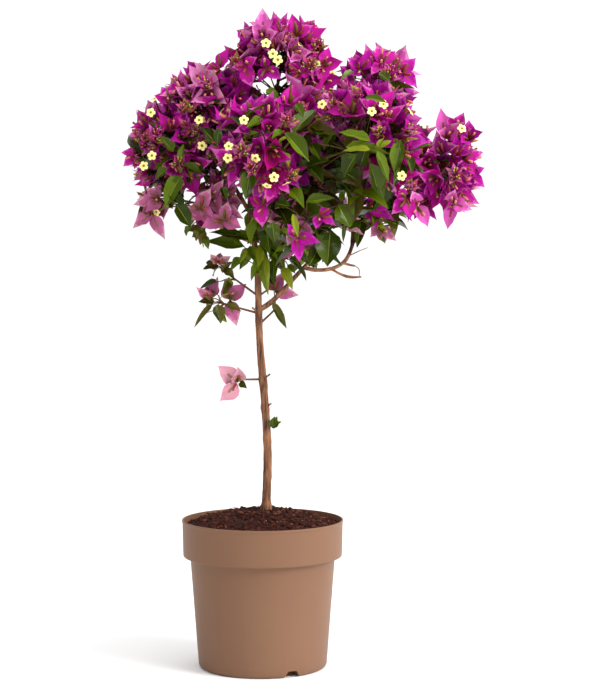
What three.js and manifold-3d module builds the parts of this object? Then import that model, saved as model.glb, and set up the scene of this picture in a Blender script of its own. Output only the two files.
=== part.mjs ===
// A bougainvillea trained on one stem, in the plastic pot it is sold in.
// Millimetres, +Z up. +X is the plant's right seen from its front, and +Y leads
// to its back. The origin is the centre of the pot's flat underside.

import * as THREE from 'three';
import { mergeVertices } from 'three/addons/utils/BufferGeometryUtils.js';
import Module from 'manifold-3d';

const wasm = await Module();
wasm.setup();

// ------------------------------------------------------------ driving sizes

const GAP = 0.3; // clearance between two solids that rest on each other
const degrees = THREE.MathUtils.degToRad;

const POT = {
  sides: 32,
  height: 155.5,
  rimRadius: 85,
  bandHeight: 37.7, // the deep band round the rim
  bandFootRadius: 83.7,
  shoulderRadius: 76.4, // the body where the band's ledge meets it
  footRadius: 67.4,
  footRound: 3.5,
  wall: 1.6,
  floor: 2.4,
  lip: 1.1,
};

// Drain notches round the foot: low arches that run in under the floor.
const NOTCH = {
  count: 3,
  firstAngle: degrees(-62),
  footWidth: 18,
  topWidth: 10,
  height: 7,
  depth: 13,
};

// The compost is heaped a little above the rim round the stem.
const COMPOST = {
  edgeHeight: 149,
  crownHeight: 165.7, // the flat seat that the stem stands on
  seatRadius: 13,
  lump: 1.4,
};

const TRUNK = {
  foot: [3.7, 0, COMPOST.crownHeight + GAP],
  knee: [5, 0, 237],
  lean: [-2.9, 0, 345],
  neck: [-5, 0, 412],
  tip: [-12, 0, 476],
  radius: 4.6,
  tipRadius: 2.9,
  flare: 1.7, // how much the root flare widens the foot
  flareShare: 0.035, // share of the trunk's length that it takes
};

// Blades are a little larger than life, since each stands for several.
const BRACTS = { length: 46, width: 35, open: degrees(55) };
const LEAVES = { length: 46, width: 28, open: degrees(68) };
const BLADE = {
  thickness: 2,
  cup: 0.04, // side corners up and tip down, as a share of the length
  widest: 0.45, // share of the length at the side corners
  rootSink: 1.5, // how far a side leaf's root reaches past its twig's axis
};
const TWIG = { stemRadius: 1.7, stemTaper: 0.5, radius: 1.15, tipRadius: 0.85 };

// The spray rule. Ends are tried in a spread of directions from the mass's
// heart, from the outside of its space inwards, until enough sprays fit.
const GROWTH = {
  tries: 89,
  stride: 34,
  steps: 7,
  outermost: 0.86, // share of the space's reach at the first step
  inward: 0.1, // less at each step
  firstScale: 1.06,
  shrink: 0.36, // later tries grow smaller blades that fill the gaps
  openSpread: 0.3,
  arch: 0.12, // how far a twig bows out along the wood that it leaves
  sideLeafAt: 0.6,
};
const BOUGH_ENTRY = 0.62; // share of a mass's reach at which its bough ends

// Limbs in the order of growth. Each starts on its parent's axis and is cut off
// short of what stands already. One that carries a mass goes on from its last
// point to the place where it enters that mass.
const LIMBS = [
  { name: 'trunk', radii: [TRUNK.radius, TRUNK.tipRadius], sides: 8, steps: 12,
    points: [TRUNK.foot, TRUNK.knee, TRUNK.lean, TRUNK.neck, TRUNK.tip] },
  { name: 'leader', radii: [2.8, 2], mass: 'crown_top', steps: 6,
    points: [TRUNK.tip, [-12, 3, 500], [-2, 2, 540], [10, 0, 572]] },
  { name: 'bough_right', radii: [3.4, 2.6], sides: 6, steps: 6,
    points: [[-3, 0, 376], [9, -3, 384], [23, -6, 398], [43, -8, 420]] },
  { name: 'bough_right_out', radii: [2.3, 1.9], sides: 6, steps: 10,
    points: [[43, -8, 420], [57, -8, 417.6], [72, -6, 419], [84, -5, 425],
      [91, -4, 435], [97, -3, 455], [103, 0, 485]] },
  { name: 'bare_twig', radii: [1.3, 0.8],
    points: [[72, -6, 419], [81, -8, 413.5], [90, -9, 410], [103, -9, 410.3]] },
  { name: 'bare_stub', radii: [1.4, 1], steps: 3,
    points: [[84, -5, 425], [91, -7, 423], [96.5, -8, 422]] },
  { name: 'bough_far_right', radii: [1.9, 1.6], mass: 'crown_far_right',
    points: [[103, 0, 485], [124, 2, 500]] },
  { name: 'bough_upper_right', radii: [1.9, 1.5], mass: 'crown_upper_right', steps: 6,
    points: [[103, 0, 485], [112, 3, 530], [122, 0, 562]] },
  { name: 'bough_right_front', radii: [1.8, 1.5], mass: 'crown_right_front',
    points: [[99, -2, 465], [101, -16, 490]] },
  { name: 'bough_right_back', radii: [1.8, 1.5], mass: 'crown_right_back',
    points: [[103, 0, 485], [106, 16, 500]] },
  { name: 'bough_lower_right', radii: [1.6, 1.3], mass: 'crown_lower_right',
    points: [[94, -4, 444], [103, -4, 457]] },
  { name: 'bough_lower_front', radii: [2, 1.6], mass: 'crown_lower_front',
    points: [[43, -8, 420], [52, -12, 431]] },
  { name: 'bough_lower_back', radii: [2, 1.6], mass: 'crown_lower_back',
    points: [[-8, 0, 440], [8, 16, 446]] },
  { name: 'bough_lower_left', radii: [2.2, 1.6], mass: 'crown_lower_left',
    points: [[-9, 0, 446], [-32, 0, 456]] },
  { name: 'bough_left', radii: [2.3, 1.6], mass: 'crown_left',
    points: [TRUNK.tip, [-34, 2, 512], [-52, 0, 536]] },
  { name: 'bough_upper_left', radii: [2, 1.6], mass: 'crown_upper_left',
    points: [[-12, 3, 497], [-20, 2, 535]] },
  { name: 'bough_front', radii: [2, 1.6], mass: 'crown_front',
    points: [[-10, 3, 508], [-6, -14, 524]] },
  { name: 'bough_back', radii: [2, 1.6], mass: 'crown_back',
    points: [[-8, 3, 516], [-4, 18, 530]] },
];

// Foliage masses. Each keeps to an ellipsoid that is cut off where a neighbour
// begins. sprays is the most twig ends it grows, bloom the share of them that
// flower, size scales its blades. One with no bough starts on the trunk at from.
const MASSES = [
  { name: 'crown_top', bloom: 1, sprays: 10,
    centre: [20, 0, 632], radii: [72, 68, 68] },
  { name: 'crown_upper_left', bloom: 1, sprays: 7,
    centre: [-54, 0, 596], radii: [64, 70, 50] },
  { name: 'crown_upper_right', bloom: 1, sprays: 8,
    centre: [122, -4, 602], radii: [60, 66, 58] },
  { name: 'crown_far_right', bloom: 1, sprays: 10,
    centre: [178, 0, 522], radii: [63, 70, 70] },
  { name: 'crown_left', bloom: 0.8, sprays: 9,
    centre: [-92, 0, 546], radii: [60, 70, 60] },
  { name: 'crown_lower_left', bloom: 0.7, sprays: 9,
    centre: [-74, -2, 484], radii: [72, 68, 48] },
  { name: 'crown_front', bloom: 0.8, sprays: 10,
    centre: [14, -76, 552], radii: [76, 72, 74] },
  { name: 'crown_back', bloom: 0.8, sprays: 10,
    centre: [14, 78, 554], radii: [76, 72, 74] },
  { name: 'crown_right_front', bloom: 0.8, sprays: 9,
    centre: [104, -70, 546], radii: [72, 68, 72] },
  { name: 'crown_right_back', bloom: 0.8, sprays: 9,
    centre: [106, 74, 548], radii: [72, 68, 72] },
  { name: 'crown_lower_right', bloom: 0.6, sprays: 4, size: 0.8,
    centre: [120, -6, 476], radii: [40, 44, 38] },
  { name: 'crown_lower_front', bloom: 0.3, sprays: 8,
    centre: [46, -46, 470], radii: [80, 66, 54] },
  { name: 'crown_lower_back', bloom: 0.4, sprays: 8,
    centre: [44, 58, 472], radii: [80, 66, 54] },
  { name: 'crown_under', bloom: 0, sprays: 5, size: 0.75, from: [-5, 0, 406],
    centre: [22, -12, 428], radii: [46, 44, 42] },
  { name: 'shoot_left_upper', bloom: 0.3, sprays: 4, size: 0.62, from: [-4, 0, 390],
    centre: [-38, -4, 415], radii: [34, 30, 30] },
  { name: 'shoot_left_lower', bloom: 0.5, sprays: 5, size: 0.62, from: [-3, 0, 372],
    centre: [-40, -2, 382], radii: [38, 30, 32] },
  { name: 'shoot_fork', bloom: 0, sprays: 1, size: 0.5, from: [-2, 0, 362],
    centre: [14, -5, 377], radii: [20, 20, 24] },
  { name: 'spray_on_stem', bloom: 1, sprays: 2, size: 0.55, from: [2, 0, 303],
    centre: [-27, -4, 303], radii: [26, 26, 26] },
  { name: 'bud_on_stem', bloom: 0, sprays: 1, size: 0.3, from: [4, 0, 256],
    centre: [14, -2, 259], radii: [13, 13, 13] },
];

const plainMaterial = (color, roughness) => new THREE.MeshStandardMaterial({
  color, roughness, metalness: 0,
});
const MATERIALS = {
  pot: plainMaterial(0xa67e64, 0.55),
  compost: plainMaterial(0x43261d, 0.95),
  bark: plainMaterial(0x7a5244, 0.85),
  bracts: plainMaterial(0xae1a8f, 0.6),
  leaves: plainMaterial(0x466a1c, 0.45),
};

// ------------------------------------------------------------ small tools

const GOLDEN_ANGLE = Math.PI * (3 - Math.sqrt(5));
const UP = new THREE.Vector3(0, 0, 1);
const RIGHT = new THREE.Vector3(1, 0, 0);
const vector = ([x, y, z]) => new THREE.Vector3(x, y, z);
const smoothLine = (points) => new THREE.CatmullRomCurve3(points);

// A repeatable stream of numbers from 0 to 1 (mulberry32).
function seeded(seed) {
  let state = seed >>> 0;
  return () => {
    state = (state + 0x6d2b79f5) >>> 0;
    let mixed = Math.imul(state ^ (state >>> 15), state | 1);
    mixed ^= mixed + Math.imul(mixed ^ (mixed >>> 7), mixed | 61);
    return ((mixed ^ (mixed >>> 14)) >>> 0) / 2 ** 32;
  };
}

function solidFrom(positions, indices) {
  return new wasm.Manifold(new wasm.Mesh({
    numProp: 3,
    vertProperties: new Float32Array(positions),
    triVerts: new Uint32Array(indices),
  }));
}

function solidFromGeometry(geometry) {
  geometry.deleteAttribute('normal');
  geometry.deleteAttribute('uv');
  const merged = mergeVertices(geometry, 1e-4);
  return solidFrom(merged.attributes.position.array, merged.index.array);
}

function largestPiece(solid) {
  return solid.decompose().reduce((a, b) => (b.volume() > a.volume() ? b : a));
}

function meshFrom(name, solid, material) {
  const { vertProperties, triVerts } = solid.getMesh();
  const geometry = new THREE.BufferGeometry();
  geometry.setAttribute('position', new THREE.BufferAttribute(vertProperties.slice(), 3));
  geometry.setIndex(new THREE.BufferAttribute(triVerts.slice(), 1));
  const mesh = new THREE.Mesh(geometry, material);
  mesh.name = name;
  return mesh;
}

// A direction square to another one, turned by an angle about it.
function squareTo(direction, angle) {
  const reference = Math.abs(direction.z) < 0.9 ? UP : RIGHT;
  const first = new THREE.Vector3().crossVectors(direction, reference).normalize();
  const second = new THREE.Vector3().crossVectors(direction, first);
  return first.multiplyScalar(Math.cos(angle)).addScaledVector(second, Math.sin(angle));
}

// One of count directions spread evenly over the sphere.
function spreadDirection(index, count, turn) {
  const height = 1 - (2 * index + 1) / count;
  const around = index * GOLDEN_ANGLE + turn;
  const ring = Math.sqrt(1 - height * height);
  return new THREE.Vector3(ring * Math.cos(around), ring * Math.sin(around), height);
}

// A tube along a curve. Its radius is a function of the share of the way along,
// and grow makes it fatter and longer on every side.
function tube(curve, radiusAt, { sides, steps, grow = 0 }) {
  const frames = curve.computeFrenetFrames(steps, false);
  const positions = [];
  const indices = [];
  for (let i = 0; i <= steps; i++) {
    const centre = curve.getPointAt(i / steps);
    if (i === 0) centre.addScaledVector(frames.tangents[i], -grow);
    if (i === steps) centre.addScaledVector(frames.tangents[i], grow);
    const radius = radiusAt(i / steps) + grow / Math.cos(Math.PI / sides);
    for (let j = 0; j < sides; j++) {
      const angle = (2 * Math.PI * j) / sides;
      const corner = centre.clone()
        .addScaledVector(frames.normals[i], radius * Math.cos(angle))
        .addScaledVector(frames.binormals[i], radius * Math.sin(angle));
      positions.push(corner.x, corner.y, corner.z);
    }
  }
  for (let i = 0; i < steps; i++) {
    for (let j = 0; j < sides; j++) {
      const here = i * sides + j;
      const beside = i * sides + ((j + 1) % sides);
      indices.push(here, beside, beside + sides, here, beside + sides, here + sides);
    }
  }
  const last = steps * sides;
  for (let j = 1; j < sides - 1; j++) {
    indices.push(0, j + 1, j, last, last + j, last + j + 1);
  }
  return solidFrom(positions, indices);
}

// ------------------------------------------------------------ pot and compost

const BAND_FOOT = POT.height - POT.bandHeight;

// Radius of the pot's outside at a height up the body, and up the band.
const bodyRadius = (height) => THREE.MathUtils.mapLinear(
  height, 0, BAND_FOOT, POT.footRadius, POT.shoulderRadius);
const bandRadius = (height) => THREE.MathUtils.mapLinear(
  height, BAND_FOOT, POT.height, POT.bandFootRadius, POT.rimRadius);

function lathe(profile) {
  const points = profile.map(([radius, height]) => new THREE.Vector2(radius, height));
  return new THREE.LatheGeometry(points, POT.sides).rotateX(Math.PI / 2);
}

// The foot's outline from the axis out to where the rounded edge ends.
function footProfile() {
  const { footRadius, footRound } = POT;
  return [
    [0, 0], [footRadius - footRound, 0],
    [footRadius - 0.3 * footRound, 0.3 * footRound], [bodyRadius(footRound), footRound],
  ];
}

function potShell() {
  const { height, wall, lip, floor, rimRadius, shoulderRadius } = POT;
  return solidFromGeometry(lathe([
    ...footProfile(),
    [shoulderRadius, BAND_FOOT - wall],
    [POT.bandFootRadius - lip, BAND_FOOT - 0.6 * wall],
    [POT.bandFootRadius, BAND_FOOT + 0.4 * lip],
    [rimRadius, height - lip],
    [rimRadius - 0.4 * lip, height],
    [rimRadius - wall, height],
    [POT.bandFootRadius - wall, BAND_FOOT + wall],
    [shoulderRadius - wall, BAND_FOOT],
    [bodyRadius(floor) - wall, floor],
    [0, floor],
  ]));
}

// A trapezoid bar that lies radially through the foot, where one notch is.
function notchBar(index, margin) {
  const foot = NOTCH.footWidth / 2 + margin;
  const top = NOTCH.topWidth / 2 + margin;
  const height = NOTCH.height + margin;
  const outline = new THREE.Shape([
    [-foot, -1], [foot, -1], [foot, 0], [top, height], [-top, height], [-foot, 0],
  ].map(([x, y]) => new THREE.Vector2(x, y)));
  const inner = POT.footRadius - NOTCH.depth - margin;
  const outer = bodyRadius(height) + 1;
  const bar = new THREE.ExtrudeGeometry(outline, { depth: outer - inner, bevelEnabled: false });
  bar.rotateX(Math.PI / 2).rotateZ(Math.PI).translate(0, inner, 0);
  bar.rotateZ(NOTCH.firstAngle - Math.PI / 2 + (2 * Math.PI * index) / NOTCH.count);
  return solidFromGeometry(bar);
}

function notchBars(margin) {
  const bars = Array.from({ length: NOTCH.count }, (_, index) => notchBar(index, margin));
  return wasm.Manifold.union(bars);
}

// The shell, with a hood inside over each notch.
function potSolid() {
  const hoodHeight = NOTCH.height + 2 * POT.wall;
  const footBlock = solidFromGeometry(lathe([
    ...footProfile(), [bodyRadius(hoodHeight), hoodHeight], [0, hoodHeight],
  ]));
  const hoods = notchBars(POT.wall).intersect(footBlock);
  return potShell().add(hoods).subtract(notchBars(0));
}

function compostSolid() {
  const inset = POT.wall + GAP;
  const { edgeHeight, crownHeight, seatRadius, lump } = COMPOST;
  const rise = crownHeight - edgeHeight;
  const edgeRadius = bandRadius(edgeHeight) - inset;
  const geometry = lathe([
    [0, POT.floor + GAP],
    [bodyRadius(POT.floor) - inset, POT.floor + GAP],
    [POT.shoulderRadius - inset, BAND_FOOT + GAP],
    [POT.bandFootRadius - inset, BAND_FOOT + POT.wall + GAP],
    [edgeRadius, edgeHeight],
    [0.82 * edgeRadius, edgeHeight + 0.42 * rise],
    [0.52 * edgeRadius, edgeHeight + 0.74 * rise],
    [seatRadius, crownHeight],
    [0, crownHeight],
  ]);
  // The heap is uneven between its edge and the stem's seat.
  const place = geometry.attributes.position;
  for (let i = 0; i < place.count; i++) {
    const radius = Math.hypot(place.getX(i), place.getY(i));
    if (place.getZ(i) < edgeHeight + 1 || radius < seatRadius + 1) continue;
    const angle = Math.atan2(place.getY(i), place.getX(i));
    const wave = Math.sin(3 * angle + 0.6) + 0.6 * Math.sin(5 * angle + radius / 9);
    place.setZ(i, place.getZ(i) + lump * wave);
  }
  return solidFromGeometry(geometry).subtract(notchBars(POT.wall + GAP));
}

// ------------------------------------------------------------ the masses' spaces

const meanRadius = ({ radii }) => (radii[0] + radii[1] + radii[2]) / 3;

// 1 on the mass's ellipsoid, less inside it.
const ellipsoidLevel = ({ centre, radii }, point) => Math.hypot(
  (point.x - centre[0]) / radii[0], (point.y - centre[1]) / radii[1], (point.z - centre[2]) / radii[2]);

// The planes that part a mass from its neighbours: a unit normal towards the
// neighbour, and the furthest that the mass may reach along it.
function bordersOf(mass) {
  const centre = vector(mass.centre);
  return MASSES.filter((other) => other !== mass).map((other) => {
    const normal = vector(other.centre).sub(centre);
    const distance = normal.length();
    const power = meanRadius(mass) ** 2 - meanRadius(other) ** 2;
    normal.normalize();
    const limit = normal.dot(centre) + (distance ** 2 + power) / (2 * distance) - GAP;
    return { normal, limit };
  });
}

function isInside(mass, point) {
  return ellipsoidLevel(mass, point) <= 1
    && mass.borders.every(({ normal, limit }) => normal.dot(point) <= limit);
}

// How far the space reaches from the mass's centre in a direction.
function reachOf(mass, direction) {
  const centre = vector(mass.centre);
  let reach = 1 / ellipsoidLevel(mass, centre.clone().add(direction));
  for (const { normal, limit } of mass.borders) {
    const approach = normal.dot(direction);
    if (approach > 0) reach = Math.min(reach, (limit - normal.dot(centre)) / approach);
  }
  return reach;
}

// ------------------------------------------------------------ limbs

function limbCurve({ points, mass }) {
  const route = points.map(vector);
  if (mass) {
    const goal = MASSES.find(({ name }) => name === mass);
    const centre = vector(goal.centre);
    const direction = route.at(-1).clone().sub(centre).normalize();
    route.push(centre.addScaledVector(direction, BOUGH_ENTRY * reachOf(goal, direction)));
  }
  return smoothLine(route);
}

function limbTube({ name, radii: [root, tip], curve, sides = 5, steps = 5 }, grow) {
  const flare = name === 'trunk' ? TRUNK.flare : 0;
  const flareAt = (along) => flare * Math.max(0, 1 - along / TRUNK.flareShare);
  const radiusAt = (along) => THREE.MathUtils.lerp(root, tip, along) + flareAt(along);
  return tube(curve, radiusAt, { sides, steps, grow });
}

// Grows every limb and returns the space that they and their clearance fill.
function growLimbs() {
  let filled = null;
  for (const limb of LIMBS) {
    limb.curve = limbCurve(limb);
    const whole = limbTube(limb, 0);
    limb.solid = filled ? largestPiece(whole.subtract(filled)) : whole;
    const cleared = limbTube(limb, GAP);
    filled = filled ? filled.add(cleared) : cleared;
  }
  return filled;
}

// ------------------------------------------------------------ leaves and flowers

// A side leaf of six faces: thick where its root sits in the twig, thin at its
// tip and side corners. It leaves the twig sideways and hangs a little.
function sideLeaf(root, along, turn, scale) {
  const direction = squareTo(along, turn).addScaledVector(along, 0.5).normalize();
  direction.addScaledVector(UP, -0.35).normalize();
  const side = direction.clone().cross(Math.abs(direction.z) > 0.95 ? along : UP).normalize();
  const normal = side.clone().cross(direction);
  const { length, width } = LEAVES;
  const corner = (forward, across, above) => root.clone()
    .addScaledVector(direction, forward * length * scale - BLADE.rootSink)
    .addScaledVector(side, across * width * scale)
    .addScaledVector(normal, above);
  const lift = BLADE.cup * length * scale;
  const corners = [
    corner(0, 0, BLADE.thickness / 2), corner(0, 0, -BLADE.thickness / 2),
    corner(BLADE.widest, -0.5, lift), corner(BLADE.widest, 0.5, lift), corner(1, 0, -lift),
  ];
  const [top, bottom, left, right, tip] = corners.keys();
  const solid = solidFrom(corners.flatMap((point) => point.toArray()), [
    top, tip, left, top, right, tip, bottom, left, tip,
    bottom, tip, right, top, left, bottom, top, bottom, right,
  ]);
  return { solid, corners };
}

// Three blades round the end of a twig, joined at their bases into one solid:
// the bracts of a flower, or a tuft of leaves.
function rosette(end, axis, turn, { length, width, open }) {
  const place = (angle, out, aside = 0) => end.clone()
    .addScaledVector(axis, out * Math.cos(open))
    .addScaledVector(squareTo(axis, angle), out * Math.sin(open))
    .addScaledVector(squareTo(axis, angle + Math.PI / 2), aside);
  const outline = [0, 1, 2].flatMap((index) => {
    const angle = turn + (2 * Math.PI * index) / 3;
    return [
      place(angle, BLADE.widest * length, -0.5 * width), place(angle, length),
      place(angle, BLADE.widest * length, 0.5 * width), place(angle + Math.PI / 3, 0.14 * length),
    ];
  });
  const top = end.clone().addScaledVector(axis, 0.7 * BLADE.thickness);
  const bottom = end.clone().addScaledVector(axis, -BLADE.thickness);
  const corners = [...outline, top, bottom];
  const count = outline.length;
  const indices = outline.flatMap((_, i) => {
    const next = (i + 1) % count;
    return [count, i, next, count + 1, next, i];
  });
  return { solid: solidFrom(corners.flatMap((point) => point.toArray()), indices), corners };
}

// ------------------------------------------------------------ the masses' growth

// The first wood of a mass: 0.3 mm past its bough's tip, or out of the trunk.
function growStem(mass, limbSpace) {
  const heart = vector(mass.centre);
  const bough = LIMBS.find((limb) => limb.mass === mass.name);
  const start = bough ? bough.curve.getPointAt(1) : vector(mass.from);
  const heading = bough ? bough.curve.getTangentAt(1) : heart.clone().sub(start).normalize();
  if (bough) start.addScaledVector(heading, GAP);
  const bend = start.clone().lerp(heart, 0.5).addScaledVector(heading, 5);
  mass.stem = smoothLine([start, bend, heart]);
  const radiusAt = (along) => TWIG.stemRadius - TWIG.stemTaper * along;
  const shape = { sides: 3, steps: 3 };
  mass.solid = largestPiece(tube(mass.stem, radiusAt, shape).subtract(limbSpace));
  mass.stemSpace = tube(mass.stem, radiusAt, { ...shape, grow: GAP });
}

// A twig forks from the joint that it reaches most directly.
function twigPath(joints, end) {
  const cost = ({ point, heading }) => {
    const step = end.clone().sub(point);
    return step.length() * (1.6 - 0.6 * step.normalize().dot(heading));
  };
  const joint = joints.reduce((a, b) => (cost(b) < cost(a) ? b : a));
  const bow = GROWTH.arch * end.distanceTo(joint.point);
  const middle = joint.point.clone().lerp(end, 0.5).addScaledVector(joint.heading, bow);
  return smoothLine([joint.point, middle, end]);
}

const jointOn = (curve, along) => ({ point: curve.getPointAt(along), heading: curve.getTangentAt(along) });

// The parts of one spray, or null if it doesn't fit.
function growSpray(mass, joints, end, direction, { kind, spin, open, scale }, fits) {
  const path = twigPath(joints, end);
  const outward = direction.clone().add(path.getTangentAt(1)).normalize();
  const shape = { length: kind.length * scale, width: kind.width * scale, open };
  const tuft = rosette(end, outward, spin, shape);
  const radiusAt = (along) => THREE.MathUtils.lerp(TWIG.radius, TWIG.tipRadius, along);
  const twig = { solid: tube(path, radiusAt, { sides: 3, steps: 2 }), corners: path.points };
  if (!fits(tuft, mass.solid) || !fits(twig)) return null;
  const { point, heading } = jointOn(path, GROWTH.sideLeafAt);
  const leaf = sideLeaf(point, heading, spin, scale);
  const solids = [twig.solid, tuft.solid];
  if (fits(leaf, mass.solid)) solids.push(leaf.solid);
  return { solids, joint: { point, heading } };
}

function growMass(mass, woodSpace) {
  const random = seeded(mass.seed);
  const heart = vector(mass.centre);
  const joints = [0.4, 0.7, 1].map((along) => jointOn(mass.stem, along));
  const fits = ({ solid, corners }, own = null) => corners.every((corner) => isInside(mass, corner))
    && woodSpace.intersect(solid).isEmpty() && (!own || own.intersect(solid).isEmpty());

  const turn = 2 * Math.PI * random();
  let sprays = 0;
  for (let i = 0; i < GROWTH.tries && sprays < mass.sprays; i++) {
    const direction = spreadDirection((i * GROWTH.stride) % GROWTH.tries, GROWTH.tries, turn);
    const kind = random() < mass.bloom ? BRACTS : LEAVES;
    const spin = 2 * Math.PI * random();
    const open = kind.open + GROWTH.openSpread * (random() - 0.5);
    const scale = (mass.size ?? 1) * (GROWTH.firstScale - (GROWTH.shrink * i) / GROWTH.tries);
    const reach = reachOf(mass, direction);
    for (let step = 0; step < GROWTH.steps; step++) {
      const depth = GROWTH.outermost - GROWTH.inward * step;
      const end = heart.clone().addScaledVector(direction, depth * reach);
      const form = { kind, spin: spin + 0.4 * step, open, scale };
      const spray = growSpray(mass, joints, end, direction, form, fits);
      if (!spray) continue;
      mass.solid = wasm.Manifold.union([mass.solid, ...spray.solids]);
      joints.push(spray.joint);
      sprays += 1;
      break;
    }
  }
  mass.solid = largestPiece(mass.solid);
}

function growMasses(limbSpace) {
  for (const mass of MASSES) growStem(mass, limbSpace);
  for (const mass of MASSES) {
    const otherStems = MASSES.filter((other) => other !== mass).map(({ stemSpace }) => stemSpace);
    growMass(mass, wasm.Manifold.union([limbSpace, ...otherStems]));
  }
}

// ------------------------------------------------------------ the plant

MASSES.forEach((mass, index) => {
  mass.seed = 101 + 7 * index;
  mass.borders = bordersOf(mass);
});
growMasses(growLimbs());

const group = new THREE.Group();
group.add(meshFrom('pot', potSolid(), MATERIALS.pot));
group.add(meshFrom('compost', compostSolid(), MATERIALS.compost));
for (const { name, solid } of LIMBS) group.add(meshFrom(name, solid, MATERIALS.bark));
for (const { name, solid, bloom } of MASSES) {
  group.add(meshFrom(name, solid, bloom > 0.5 ? MATERIALS.bracts : MATERIALS.leaves));
}
export default group;
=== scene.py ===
"""A bougainvillea standard in its pot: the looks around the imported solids.

Plant sizes are in millimetres, as in the part's source, and each finished piece
is scaled to metres. +X is the plant's right, +Y its back, +Z up.
"""

import math
import random

import bmesh
import bpy
import numpy as np
from mathutils import Matrix, Vector, noise


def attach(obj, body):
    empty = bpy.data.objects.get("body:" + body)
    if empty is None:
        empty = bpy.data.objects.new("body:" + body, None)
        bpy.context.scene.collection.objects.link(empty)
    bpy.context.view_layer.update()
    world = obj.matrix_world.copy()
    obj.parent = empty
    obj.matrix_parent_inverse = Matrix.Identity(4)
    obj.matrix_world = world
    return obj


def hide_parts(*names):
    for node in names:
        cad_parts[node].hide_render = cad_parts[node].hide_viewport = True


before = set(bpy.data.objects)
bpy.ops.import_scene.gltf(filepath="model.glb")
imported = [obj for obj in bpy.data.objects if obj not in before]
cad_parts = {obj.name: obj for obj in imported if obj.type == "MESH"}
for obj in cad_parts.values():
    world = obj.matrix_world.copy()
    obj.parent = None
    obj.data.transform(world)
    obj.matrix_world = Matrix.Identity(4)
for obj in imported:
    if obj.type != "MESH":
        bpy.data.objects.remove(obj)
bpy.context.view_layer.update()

MM = 0.001
TURN = 2 * math.pi
GOLDEN_ANGLE = math.pi * (3 - math.sqrt(5))
UP = Vector((0, 0, 1))
RIGHT = Vector((1, 0, 0))
SEED = 20

# ---------------------------------------------------------------- the plant's plan

POT = {
    "height": 155.5, "rim": 85.0, "band": 37.7, "band_foot": 83.7, "shoulder": 76.4,
    "foot": 67.4, "foot_round": 3.5, "wall": 1.6, "sides": 144,
}
NOTCH = {"count": 3, "angle": math.radians(-62), "foot": 18, "top": 10, "height": 7, "depth": 13}
COMPOST = {"edge": 149, "crown": 165.7, "skirt": 146.5, "foot": 138, "rings": 56, "sides": 150}
TRUNK_TIP = (-12, 0, 476)

# name: (radius at the root, at the tip, mass that it carries, points)
LIMBS = {
    "trunk": (4.6, 2.9, None, [(3.7, 0, 163), (5, 0, 237), (-2.9, 0, 345), (-5, 0, 412), TRUNK_TIP]),
    "leader": (2.8, 2.0, "crown_top", [TRUNK_TIP, (-12, 3, 500), (-2, 2, 540), (10, 0, 572)]),
    "bough_right": (2.7, 2.1, None, [(-3, 0, 376), (9, -3, 384), (23, -6, 398), (43, -8, 420)]),
    "bough_right_out": (2.1, 1.7, None, [
        (43, -8, 420), (57, -8, 417.6), (72, -6, 419), (84, -5, 425),
        (91, -4, 435), (97, -3, 455), (103, 0, 485)]),
    "bare_twig": (1.3, 0.8, None, [(72, -6, 419), (81, -8, 413.5), (90, -9, 410), (103, -9, 410.3)]),
    "bare_stub": (1.4, 1.0, None, [(84, -5, 425), (91, -7, 423), (96.5, -8, 422)]),
    "bough_far_right": (1.9, 1.6, "crown_far_right", [(103, 0, 485), (124, 2, 500)]),
    "bough_upper_right": (1.9, 1.5, "crown_upper_right", [(103, 0, 485), (112, 3, 530), (122, 0, 562)]),
    "bough_right_front": (1.8, 1.5, "crown_right_front", [(99, -2, 465), (101, -16, 490)]),
    "bough_right_back": (1.8, 1.5, "crown_right_back", [(103, 0, 485), (106, 16, 500)]),
    "bough_lower_right": (1.6, 1.3, "crown_lower_right", [(94, -4, 444), (103, -4, 457)]),
    "bough_lower_front": (2.0, 1.6, "crown_lower_front", [(43, -8, 420), (52, -12, 431)]),
    "bough_lower_back": (2.0, 1.6, "crown_lower_back", [(-8, 0, 440), (8, 16, 446)]),
    "bough_lower_left": (2.2, 1.6, "crown_lower_left", [(-9, 0, 446), (-32, 0, 456)]),
    "bough_left": (2.3, 1.6, "crown_left", [TRUNK_TIP, (-34, 2, 512), (-52, 0, 536)]),
    "bough_upper_left": (2.0, 1.6, "crown_upper_left", [(-12, 3, 497), (-20, 2, 535)]),
    "bough_front": (2.0, 1.6, "crown_front", [(-10, 3, 508), (-6, -14, 524)]),
    "bough_back": (2.0, 1.6, "crown_back", [(-8, 3, 516), (-4, 18, 530)]),
}

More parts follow.
